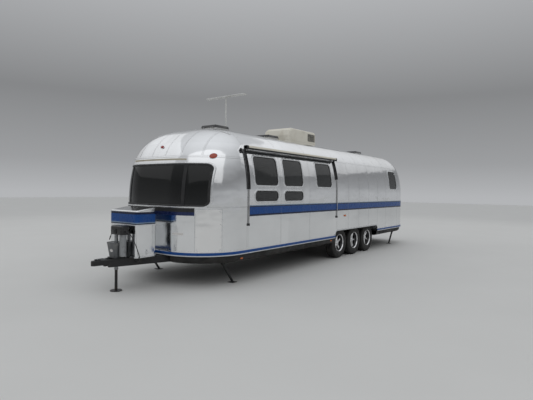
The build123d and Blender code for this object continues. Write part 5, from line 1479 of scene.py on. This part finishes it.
# Awnings: vinyl rolled under a pale cover, the roll below the cover painted dark as painted shade, a dark
# lead rail, brackets with knobs, and arms down the wall
ROLLER = (1.1657, 2.312, 0.036)  # columns: place across, height, radius
AWNINGS = (  # columns: name, side, start, end, height where each arm's outer part ends
    ("street", 1, 1.020, 4.290, (1.600, 1.850)),
    ("curb", -1, 1.020, 7.400, (1.600, 1.600)),
)
LEAD_RAIL = ((0.020, -0.020), (0.031, -0.023), (0.032, -0.036), (0.020, -0.036))
TRACK = ((0.040, 0.010), (0.046, 0.010), (0.046, -0.014), (0.040, -0.014))
END_DISC = ((-0.038, 0.036), (-0.002, 0.036), (0.0, 0.033))
SLIDE = bar(0.0105, 0.003, 0.0200, 0.003)
ARM_FOOT = bar(0.017, -0.001, 0.025, 0.003)
ROLL_STEPS = 44
KNOB = ((-0.016, 0.010), (-0.014, 0.0115), (0.012, 0.0115), (0.014, 0.009))
CHANNEL = (
    (-0.019, -0.001), (0.019, -0.001), (0.019, 0.029), (0.0125, 0.030), (0.0120, 0.021), (-0.0120, 0.021),
    (-0.0125, 0.030), (-0.019, 0.029),
)
for word, side, start, end, splits in AWNINGS:
    x, z, radius = ROLLER
    x *= side
    near, far = FRONT + start, FRONT + end
    roll = []
    for k in range(ROLL_STEPS):
        a = 2 * math.pi * k / ROLL_STEPS
        reach = radius - 0.0045 + 0.0022 * (k / ROLL_STEPS)
        roll.append((x + side * reach * math.sin(a), z + reach * math.cos(a)))
    hood = []
    for reach, turns in ((0.0352, np.linspace(-1.9, 1.75, 30)), (0.0335, np.linspace(1.75, -1.9, 30))):
        hood += [(x + side * reach * math.sin(a), z + reach * math.cos(a)) for a in turns]
    rail = [(x + side * u, z + w) for u, w in LEAD_RAIL]
    gutter = [(x - side * u, z + w) for u, w in TRACK]
    for part, outline, margin, finish, options in (
        # The roll's dark finish is painted shade below the cream hood.
        ("roll", roll, 0.045, roll_vinyl_painted_shade, {"slot": "roof_plastic", "replaces": (f"{word}_awning",)}),
        ("hood", hood, 0.042, awning_vinyl, {"angle": 40}),
        ("lead_rail", rail, 0.044, arm_black, {"angle": 20}),
        ("track", gutter, 0.002, arm_black, {"angle": 20}),
    ):
        form = prism_form(outline, END_WAY, near + margin, far - margin)
        pieces_of(f"{word}_awning_{part}", [form], (finish,), **options)
    brackets, knobs = [], []
    for place, way in ((near, -1), (far, 1)):
        low, high = sorted((place, place - way * 0.040))
        left, right = sorted((x - side * 0.058, x + side * 0.030))
        brackets.append(slab((left, low, z - 0.034), (right, high, z + 0.034), 0.010, 3))
        brackets.append(lathe(END_DISC, (x, place, z), (0, way, 0), 36))
        for u, w in ((0.026, -0.030), (-0.030, -0.036)):
            spot = (x + side * u, place - way * 0.020, z + w)
            knobs.append(lathe(KNOB, spot, (0, 1, 0), 12))
    pieces_of(f"{word}_awning_brackets", brackets, (arm_black,), slot="black_steel")
    pieces_of(f"{word}_awning_knobs", knobs, (black_plastic,))
    for place, split, part in ((start + 0.020, splits[0], "front"), (end - 0.020, splits[1], "rear")):
        line = [(place, z) for z in np.linspace(2.272, split, 22)]
        strip(f"{word}_awning_arm_{part}", line, on_side(side), CHANNEL, (arm_black,), angle=25)
        line = [(place, z) for z in np.linspace(split + 0.05, 0.990, 22)]
        strip(
            f"{word}_awning_slide_{part}", line, on_side(side), SLIDE, (arm_metal,), angle=25,
            slot="aluminium_trim",
        )
        line = [(place, 1.022), (place, 0.981)]
        strip(f"{word}_awning_foot_{part}", line, on_side(side), ARM_FOOT, (arm_black,))

# Air conditioner: louvres in its sides and rear over near-black sheets that are painted shade inside the
# grille, and a lip round its foot
SHROUD = (3.540, 4.770, 0.350)  # columns: start and end behind the front, half width
louvres, recess = [], []
for side in (1, -1):
    x = side * SHROUD[2]
    near, far = FRONT + SHROUD[1] - 0.390, FRONT + SHROUD[1] - 0.060
    low, high = sorted((x - side * 0.004, x + side * 0.0015))
    recess.append(slab((low, near, ROOF_TOP + 0.070), (high, far, ROOF_TOP + 0.245), 0.0006, 1))
    for z in np.arange(ROOF_TOP + 0.080, ROOF_TOP + 0.240, 0.0165):
        outline = [(x, z), (x + side * 0.0085, z - 0.0035), (x + side * 0.0095, z - 0.002), (x, z + 0.0035)]
        louvres.append(prism_form(outline, END_WAY, near + 0.004, far - 0.004))
y = FRONT + SHROUD[1]
recess.append(slab((-0.250, y - 0.004, ROOF_TOP + 0.070), (0.250, y + 0.0015, ROOF_TOP + 0.225), 0.0006, 1))
for z in np.arange(ROOF_TOP + 0.080, ROOF_TOP + 0.220, 0.0165):
    outline = [(y, z), (y + 0.0085, z - 0.0035), (y + 0.0095, z - 0.002), (y, z + 0.0035)]
    louvres.append(prism_form(outline, SIDE_WAY, -0.246, 0.246))
# The sheets behind the louvres are near black as painted shade.
pieces_of("conditioner_grille_shade", recess, (grille_painted_shade,))
pieces_of("conditioner_louvres", louvres, (shroud,), angle=20, slot="roof_plastic")
seam = rounded(-SHROUD[2], SHROUD[2], FRONT + SHROUD[0], FRONT + SHROUD[1], 0.012, 3, 0.3)


def level_plan(u, v, height=0.0):
    """Maps a plan point and a height to a point."""
    return np.stack(arrays(u, v, height), -1)


lip = (
    (-0.002, ROOF_TOP + 0.030), (0.0045, ROOF_TOP + 0.030), (0.0045, ROOF_TOP + 0.040),
    (-0.002, ROOF_TOP + 0.042),
)
trim("conditioner_lip", seam, level_plan, lip, (shroud,), angle=20, slot="roof_plastic")

# Bottle cover: its blue band with pale lines, a foot flange and latches
COVER = (-0.340, 0.340, FRONT - 0.566, FRONT - 0.186)
cover_path = rounded(*COVER, 0.045, 8, 0.1)
band_profile = ((-0.0005, 1.016), (0.0010, 1.0164), (0.0010, 1.2216), (-0.0005, 1.222))
trim("cover_band", cover_path, level_plan, band_profile, (cover_stripes,))
flange = (
    (-0.001, 0.5195), (0.010, 0.5195), (0.0125, 0.523), (0.0125, 0.540), (0.010, 0.5425), (-0.001, 0.5425)
)
trim("cover_foot", cover_path, level_plan, flange, **METAL_TRIM)
latches = []
for side in (1, -1):
    x, y = side * 0.340, FRONT - 0.376
    low, high = sorted((x - side * 0.0005, x + side * 0.006))
    latches.append(slab((low, y - 0.016, 0.560), (high, y + 0.016, 0.640), 0.002, 1))
    low, high = sorted((x + side * 0.005, x + side * 0.013))
    latches.append(slab((low, y - 0.009, 0.572), (high, y + 0.009, 0.632), 0.0025, 2))
    latches.append(lathe(((-0.012, 0.004), (0.012, 0.004)), (x + side * 0.010, y, 0.640), (0, 1, 0), 12))
pieces_of("cover_latches", latches, **METAL_TRIM)

# Tongue jack: tube, flange, tapered shroud, head, motor, crank and a blank oval plate
JACK_Y = FRONT - 0.680


def stacked(rows):
    """A closed form through level rounded rectangles; rows give height, left, right, depth and corner."""
    points = []
    for height, left, right, depth, corner in rows:
        outline = rounded(left, right, JACK_Y - depth / 2, JACK_Y + depth / 2, corner, 8, 9)
        points += [(x, y, height) for x, y in outline]
    return points, capped(len(rows), len(outline))


def softened(bottom, top, left, right, depth, corner, foot_edge, top_edge, steps=6):
    """Rows of a rounded block whose lower and upper edges are rounded too."""
    rows = []
    for way, edge, level in ((-1, foot_edge, bottom), (1, top_edge, top)):
        angles = np.linspace(0, math.pi / 2, steps)
        angles = angles[::-1] if way < 0 else angles
        for angle in angles:
            inset = edge * (1 - math.cos(angle))
            height = level + way * (edge * math.sin(angle) - edge)
            rows.append((height, left + inset, right - inset, depth - 2 * inset, max(corner - inset, 0.004)))
    return rows


def bored(forms):
    """A mesh of closed forms with the jack's tube let through them."""
    bore = lathe(((0.450, 0.0282), (0.800, 0.0282)), (0, JACK_Y, 0), UP, 40)
    mesh = cut_by(closed(*joined(forms)), bore)
    mesh.materials.clear()
    return mesh


tube_rows = (  # columns: height, radius
    (0.330, 0.0235), (0.330, 0.0270), (0.332, 0.0315), (0.346, 0.0315), (0.348, 0.0280), (0.882, 0.0280),
    (0.882, 0.0235),
)
jack_tube = ring_form(tube_rows, (0, JACK_Y, 0), UP, 40)
motor_rows = (
    (0.545, 0.020), (0.546, 0.044), (0.551, 0.050), (0.566, 0.052), (0.600, 0.052), (0.602, 0.0500),
    (0.606, 0.0500), (0.608, 0.052), (0.836, 0.052), (0.838, 0.0500), (0.842, 0.0500), (0.844, 0.052),
    (0.882, 0.052),
)
jack_motor = lathe(motor_rows, (0.165, JACK_Y, 0), UP, 44)
pieces_of(
    "jack_tube", [jack_tube, jack_motor], (galvanised,), replaces=("jack_housing",), slot="galvanised_sheet"
)
flange_rows = [
    (0.513, -0.145, 0.145, 0.150, 0.035), (0.520, -0.145, 0.145, 0.150, 0.035),
    (0.521, -0.144, 0.144, 0.148, 0.034),
]
bolt = ((0, 0.011), (0.007, 0.011), (0.009, 0.008))
bolts = [lathe(bolt, (x, JACK_Y, 0.521), UP, 6) for x in (-0.122, 0.122)]
finish_piece("jack_flange", bored([stacked(flange_rows), *bolts]), (black_steel,), slot="black_steel")
shroud_rows = [
    (0.521, -0.090, 0.090, 0.146, 0.035), (0.640, -0.1075, 0.1075, 0.1732, 0.035),
    (0.735, -0.1217, 0.1217, 0.1950, 0.035), (0.748, -0.1250, 0.1250, 0.2000, 0.035),
    (0.7545, -0.1240, 0.1240, 0.1985, 0.034), (0.757, -0.1200, 0.1200, 0.1910, 0.031),
    (0.7570, -0.1120, 0.1120, 0.1760, 0.026), (0.7500, -0.1080, 0.1080, 0.1690, 0.024),
]
finish_piece("jack_shroud", bored([stacked(shroud_rows)]), (jack_paint,), angle=35, slot="jack_paint")
head = stacked(softened(0.880, 1.020, -0.060, 0.235, 0.150, 0.040, 0.010, 0.034))
seam_band = stacked([(0.9265, -0.0608, 0.2358, 0.1516, 0.0408), (0.9300, -0.0608, 0.2358, 0.1516, 0.0408)])
box = slab((0.020, JACK_Y - 0.088, 0.896), (0.105, JACK_Y - 0.070, 0.966), 0.006, 2)
switch = slab((0.050, JACK_Y - 0.094, 0.918), (0.074, JACK_Y - 0.086, 0.944), 0.002, 1)
gland_rows = ((-0.002, 0.013), (0.010, 0.012), (0.022, 0.0075), (0.024, 0.0062))
gland = lathe(gland_rows, (0.235, JACK_Y, 0.930), (1, 0, 0), 20)
pieces_of("jack_head", [head, seam_band, box, switch, gland], (jack_black,), angle=30, slot="black_steel")
crank = [
    (-0.052, JACK_Y, 0.948), (-0.082, JACK_Y, 0.948), (-0.092, JACK_Y - 0.002, 0.940),
    (-0.128, JACK_Y - 0.010, 0.852), (-0.133, JACK_Y - 0.011, 0.838),
]
grip_rows = ((0, 0.007), (0.003, 0.009), (0.062, 0.008), (0.066, 0.005))
grip = lathe(grip_rows, (-0.133, JACK_Y - 0.011, 0.842), (-0.35, -0.08, -0.93), 16)
pieces_of("jack_crank", [tube(crank, 0.0055, 12), grip], (jack_black,))
lean = math.atan2(0.027, 0.236)
plate_way = Vector((0, -math.cos(lean), -math.sin(lean)))
plate_place = Vector((0.0, JACK_Y - 0.0731 - (0.632 - 0.521) * 0.1144, 0.632))
oval = [(0.036 * math.cos(a), 0.024 * math.sin(a)) for a in np.linspace(0, 2 * math.pi, 32, endpoint=False)]
plate_plane = ((1, 0, 0), tuple(Vector((1, 0, 0)).cross(plate_way) * -1), tuple(plate_way))
points, faces = prism_form(oval, plate_plane, -0.0005, 0.0014)
pieces_of("jack_oval_plate", [([p + plate_place for p in points], faces)], (blank_label,))

# The jack's cable, from its gland down past the cover and in to the rail
HEAD_RIGHT, HEAD_FOOT, CABLE_LIFT = 0.235, 0.880, 0.050
CABLE_SIDE = COVER[1] + 0.022
RAIL_FACE = (0.1888, FRONT - 0.470)  # columns: place across, place along
cable_route = (
    (HEAD_RIGHT, JACK_Y, HEAD_FOOT + CABLE_LIFT),
    (HEAD_RIGHT + 0.055, JACK_Y, HEAD_FOOT + CABLE_LIFT),
    (CABLE_SIDE - 0.006, JACK_Y + 0.030, HEAD_FOOT - 0.030),
    (CABLE_SIDE, JACK_Y + 0.075, HEAD_FOOT - 0.130),
    (CABLE_SIDE + 0.004, JACK_Y + 0.125, HEAD_FOOT - 0.245),
    (CABLE_SIDE + 0.004, JACK_Y + 0.160, HEAD_FOOT - 0.350),
    (CABLE_SIDE, RAIL_FACE[1] - 0.0473, 0.455),
    (*RAIL_FACE, 0.455),
)
cable_curve = bpy.data.curves.new("jack_lead", "CURVE")
cable_curve.dimensions = "3D"
cable_curve.bevel_depth = 0.006
cable_curve.bevel_resolution = 4
cable_curve.use_fill_caps = True
spline = cable_curve.splines.new("NURBS")
spline.points.add(len(cable_route) - 1)
for point, place in zip(spline.points, cable_route):
    point.co = (*place, 1)
spline.order_u = 3
spline.use_endpoint_u = True
spline.resolution_u = 16
cable_curve.materials.append(cable_rubber)
jack_lead = placed_object("jack_lead", cable_curve)
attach(jack_lead, "caravan")
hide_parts("jack_cable")

# Coupler's lever, and the blank plate and label on the front
COUPLER_TOP = 0.510
NOSE_Y = FRONT - 1.100
bolt = ((0, 0.012), (0.010, 0.012), (0.012, 0.009))
lever = [
    slab((-0.010, NOSE_Y + 0.080, COUPLER_TOP + 0.012), (0.010, NOSE_Y + 0.190, COUPLER_TOP + 0.024), 0.003),
    lathe(((-0.022, 0.007), (0.022, 0.007)), (0, NOSE_Y + 0.085, COUPLER_TOP + 0.014), (1, 0, 0), 16),
    lathe(bolt, (0, NOSE_Y + 0.215, COUPLER_TOP - 0.001), UP, 6),
]
pieces_of("coupler_lever", lever, (galvanised,), slot="galvanised_sheet")
label = [(x, 0.872) for x in np.linspace(0.487, 0.687, 12)]
strip("front_blank_label", label, on_end(-1), bar(0.020, -0.0005, 0.0015, 0.0005), (blank_label,))


# Lamps
def dome(mapping, u, v, half_u, half_v, height, foot=0.0, steps=28):
    """An oval lens or its bezel, standing on the skin."""
    rises = ((1.0, 0.0), (1.0, 0.45), (0.92, 0.78), (0.66, 0.95), (0.02, 1.0))
    rows = [(share, foot - 0.001 if rise == 0 else foot + rise * height) for share, rise in rises]
    angles = np.linspace(0, 2 * math.pi, steps, endpoint=False)
    across, along = np.cos(angles), np.sin(angles)
    points = [mapping(u + half_u * share * across, v + half_v * share * along, rise) for share, rise in rows]
    return np.vstack(points), capped(len(rows), steps)


def run_at(x, height):
    """The way along the round wall to a place across the front's bend, at a height."""
    half_width, _, corner = (float(row[0]) for row in plan_at(np.array([height]), 0.0))
    edge = half_width - corner
    return edge + corner * math.asin((x - edge) / corner)


MARKERS = (  # columns: name, mapping, along, height, half length, half height, lens
    ("front_street", round_wall(1), run_at(0.975, 2.125), 2.125, 0.062, 0.041, corner_lens),
    ("front_curb", round_wall(-1), run_at(0.975, 2.125), 2.125, 0.062, 0.041, corner_lens),
    ("front_middle", on_end(-1), 0.0, 2.290, 0.036, 0.020, red_lens),
    ("rear_street", on_end(1), 0.900, 2.150, 0.046, 0.030, red_lens),
    ("rear_curb", on_end(1), -0.900, 2.150, 0.046, 0.030, red_lens),
    ("rear_middle", on_end(1), 0.0, 2.250, 0.036, 0.020, red_lens),
    ("rear_left", on_end(1), 0.150, 2.250, 0.036, 0.020, red_lens),
    ("rear_right", on_end(1), -0.150, 2.250, 0.036, 0.020, red_lens),
    ("side_street", on_side(1), 4.695, 1.015, 0.050, 0.024, amber_lens),
    ("side_curb", on_side(-1), 4.695, 1.015, 0.050, 0.024, amber_lens),
)
bezels = []
for name, mapping, u, v, half_u, half_v, lens in MARKERS:
    bezels.append(dome(mapping, u, v, half_u + 0.007, half_v + 0.007, 0.005))
    pieces_of(
        f"marker_{name}", [dome(mapping, u, v, half_u, half_v, 0.022, 0.002)], (lens,), slot="lamp_plastic"
    )
pieces_of("marker_bezels", bezels, **METAL_TRIM)

LAMP_DEPTHS = (-0.020, 0.0005)
BEZEL_DEPTHS = (-0.022, 0.0)
lamp_shell = shell(*LAMP_DEPTHS)
bezel_shell = shell(*BEZEL_DEPTHS)
LAMP = (0.780, 0.960, 0.950, 1.350)  # columns: inner and outer place across, bottom, top
LENSES = (
    ("red", 1.196, 1.342, red_lens), ("amber", 1.076, 1.192, amber_lens), ("clear", 0.958, 1.072, clear_lens)
)
for side, word in SIDES:
    left, right = sorted((side * LAMP[0], side * LAMP[1]))
    outline = (left, right, *LAMP[2:])
    frame_outer = end_tool(1, outline, 0, 0.030)
    frame_inner = end_tool(1, widened(outline, -0.009), 0, 0.021)
    bezel = cut_by(kept_in(bezel_shell, frame_outer), frame_inner)
    options = {"slot": "aluminium_trim"}
    if side > 0:
        options["replaces"] = ("tail_lamps",)
    skin_piece(
        f"tail_lamp_bezel_{word}", bezel, BEZEL_DEPTHS, (trim_metal, trim_metal, trim_metal), **options
    )
    for name, low, high, lens in LENSES:
        zone = end_tool(1, (left + 0.008, right - 0.008, low, high), 0, 0.014)
        part = kept_in(lamp_shell, zone)
        skin_piece(f"tail_lamp_{name}_{word}", part, LAMP_DEPTHS, (lens, lens, lens), slot="lamp_plastic")

# Small lamps under the rub rail
for i, (place, height) in enumerate(((0.900, 0.444), (4.060, 0.470))):
    for side, word in SIDES:
        x = side * (WIDTH / 2 - 0.022 - 0.006)
        low, high = sorted((x, x + side * 0.004))
        near, far = FRONT + place - 0.034, FRONT + place + 0.034
        back = slab((low, near, height - 0.020), (high, far, height + 0.020), 0.0015, 1)
        lens_rows = ((0, 0.0155), (0.008, 0.0150), (0.0125, 0.0100), (0.0140, 0.001))
        spots = [(x + side * 0.003, FRONT + place + shift, height) for shift in (-0.016, 0.016)]
        lens_form = [lathe(lens_rows, spot, (side, 0, 0), 20) for spot in spots]
        pieces_of(f"belly_lamp_base_{word}_{i + 1}", [back], (black_plastic,))
        pieces_of(f"belly_lamp_{word}_{i + 1}", lens_form, (amber_lens,), slot="lamp_plastic")

# Drip rails over the front window and the entry door
line = [(x, 2.068 - 0.006 * (x / 0.65) ** 2) for x in np.linspace(-0.650, 0.650, 30)]
gutter = (
    (-0.010, -0.001), (0.012, -0.001), (0.012, 0.002), (-0.006, 0.004), (-0.006, 0.016), (-0.010, 0.016)
)
strip("front_drip_rail", line, on_end(-1), gutter, (drip_cream,), angle=20)
line = [(u, 2.185) for u in np.linspace(DOOR[0] - 0.060, DOOR[1] + 0.060, 14)]
strip("door_drip_rail", line, on_side(-1), gutter, angle=20, **METAL_TRIM)

# Tread on the entry step
STEP = (CURB_FACE + 0.090, 3.100, 3.700, 0.330)  # columns: outer edge, start and end behind the front, top
ribs = []
for x in np.arange(STEP[0] + 0.030, STEP[0] + 0.235, 0.012):
    near, far = FRONT + STEP[1] + 0.040, FRONT + STEP[2] - 0.040
    ribs.append(slab((x, near, STEP[3] - 0.0002), (x + 0.006, far, STEP[3] + 0.0022), 0.0008, 1))
pieces_of("step_tread", ribs, (tyre_rubber,), body="slide_step", slot="tyre_rubber")

# Finishes of the CAD pieces that stay
CAD_FINISHES = (
    (black_steel, "frame_rails", "cross_members", "bottle_tray", "coupler", "axles", "belly_brackets"),
    (black_steel, "jack_leg"),
    (black_steel, *(f"stabiliser_{word}_{place}" for _, word in SIDES for place in ("front", "rear"))),
    (smoke_plastic, *(f"vent_lid_{place}" for place, *_ in VENTS)),
    # The belly pan's near black is painted shade under the body.
    (belly_painted_shade, "belly_pan"),
    (plywood, "floor"),
    (galvanised, "wheel_boxes", "slide_step"),
    (rail_paint, "rub_rail"),
    (bumper_metal, "rear_bumper"),
    (bottle_paint, "gas_bottles"),
    (cover_metal, "bottle_cover"),
    (shroud, "air_conditioner"),
    (collar_metal, "roof_fittings"),
    (antenna_grey, "antenna"),
)
for finish, *names in CAD_FINISHES:
    for name in names:
        piece = bpy.data.objects[name]
        if not piece.material_slots:
            piece.data.materials.append(finish)
        for slot in piece.material_slots:
            slot.material = finish

# Camera, floor and light
camera_data = bpy.data.cameras.new("camera")
camera = placed_object("camera", camera_data)
bpy.context.scene.camera = camera
YAW, PITCH, ROLL = math.radians(36.36), math.radians(-1.32), 0.0149
look = Vector((-math.sin(YAW) * math.cos(PITCH), math.cos(YAW) * math.cos(PITCH), math.sin(PITCH)))
level = Vector((math.cos(YAW), math.sin(YAW), 0))
up = level.cross(look)
right = math.cos(ROLL) * level + math.sin(ROLL) * up
up = math.cos(ROLL) * up - math.sin(ROLL) * level
placed = Matrix((right, up, -look)).transposed().to_4x4()
placed.translation = Vector((5.802, FRONT - 4.672, 1.591))
camera.matrix_world = placed
SENSOR = 36
camera_data.sensor_width = SENSOR
camera_data.lens = 432.57 / 533 * SENSOR  # focal length over width, both in picture points
camera_data.clip_end = 200

floor_mesh = closed(*slab((-60, -60, -0.02), (60, 60, 0.0), 0), name="studio_floor")
studio_floor = placed_object("studio_floor", floor_mesh)
floor_paint, floor_tree, floor_shader, floor_place = new_material("studio_floor", (0.62, 0.62, 0.60), 0, 0.9)
floor_tone = spread(floor_tree, noise(floor_tree, floor_place, 0.6, 5), 0, 1)
paint(floor_tree, floor_shader, floor_tone, (0.62, 0.62, 0.605), (0.64, 0.64, 0.625))
floor_mesh.materials.append(floor_paint)

world = bpy.data.worlds.new("studio")
bpy.context.scene.world = world
world.use_nodes = True
sky = world.node_tree
sky_way = sky.nodes.new("ShaderNodeTexCoord").outputs["Generated"]
sky_height = node(sky, "ShaderNodeSeparateXYZ", Vector=sky_way).outputs["Z"]
sky_ramp = sky.nodes.new("ShaderNodeValToRGB")
sky.links.new(spread(sky, sky_height, 0, 1, -1, 1), sky_ramp.inputs[0])
SKY_STOPS = ((0.0, 0.50), (0.495, 0.46), (0.53, 0.34), (0.60, 0.24), (0.74, 0.52), (1.0, 0.86))
set_stops(sky_ramp, [(place, (tone * 0.98, tone, tone * 1.03)) for place, tone in SKY_STOPS])
sky.links.new(sky_ramp.outputs[0], sky.nodes["Background"].inputs["Color"])
sky.nodes["Background"].inputs["Strength"].default_value = 1.0


def softbox(name, place, target, size, power):
    """A large soft lamp that looks at a target."""
    light = bpy.data.lights.new(name, "AREA")
    light.shape = "RECTANGLE"
    light.size, light.size_y = size
    light.energy = power
    lamp = placed_object(name, light)
    lamp.location = place
    lamp.rotation_euler = (Vector(target) - Vector(place)).to_track_quat("-Z", "Y").to_euler()


softbox("key", (10, -12, 12), (0, -1, 1.2), (27, 14), 400)
softbox("fill", (-12, -5, 9), (0, 0, 1.2), (20, 10), 170)
softbox("back", (3, 15, 10), (0, 2, 1.5), (20, 10), 170)

bpy.context.scene.view_settings.view_transform = "Standard"
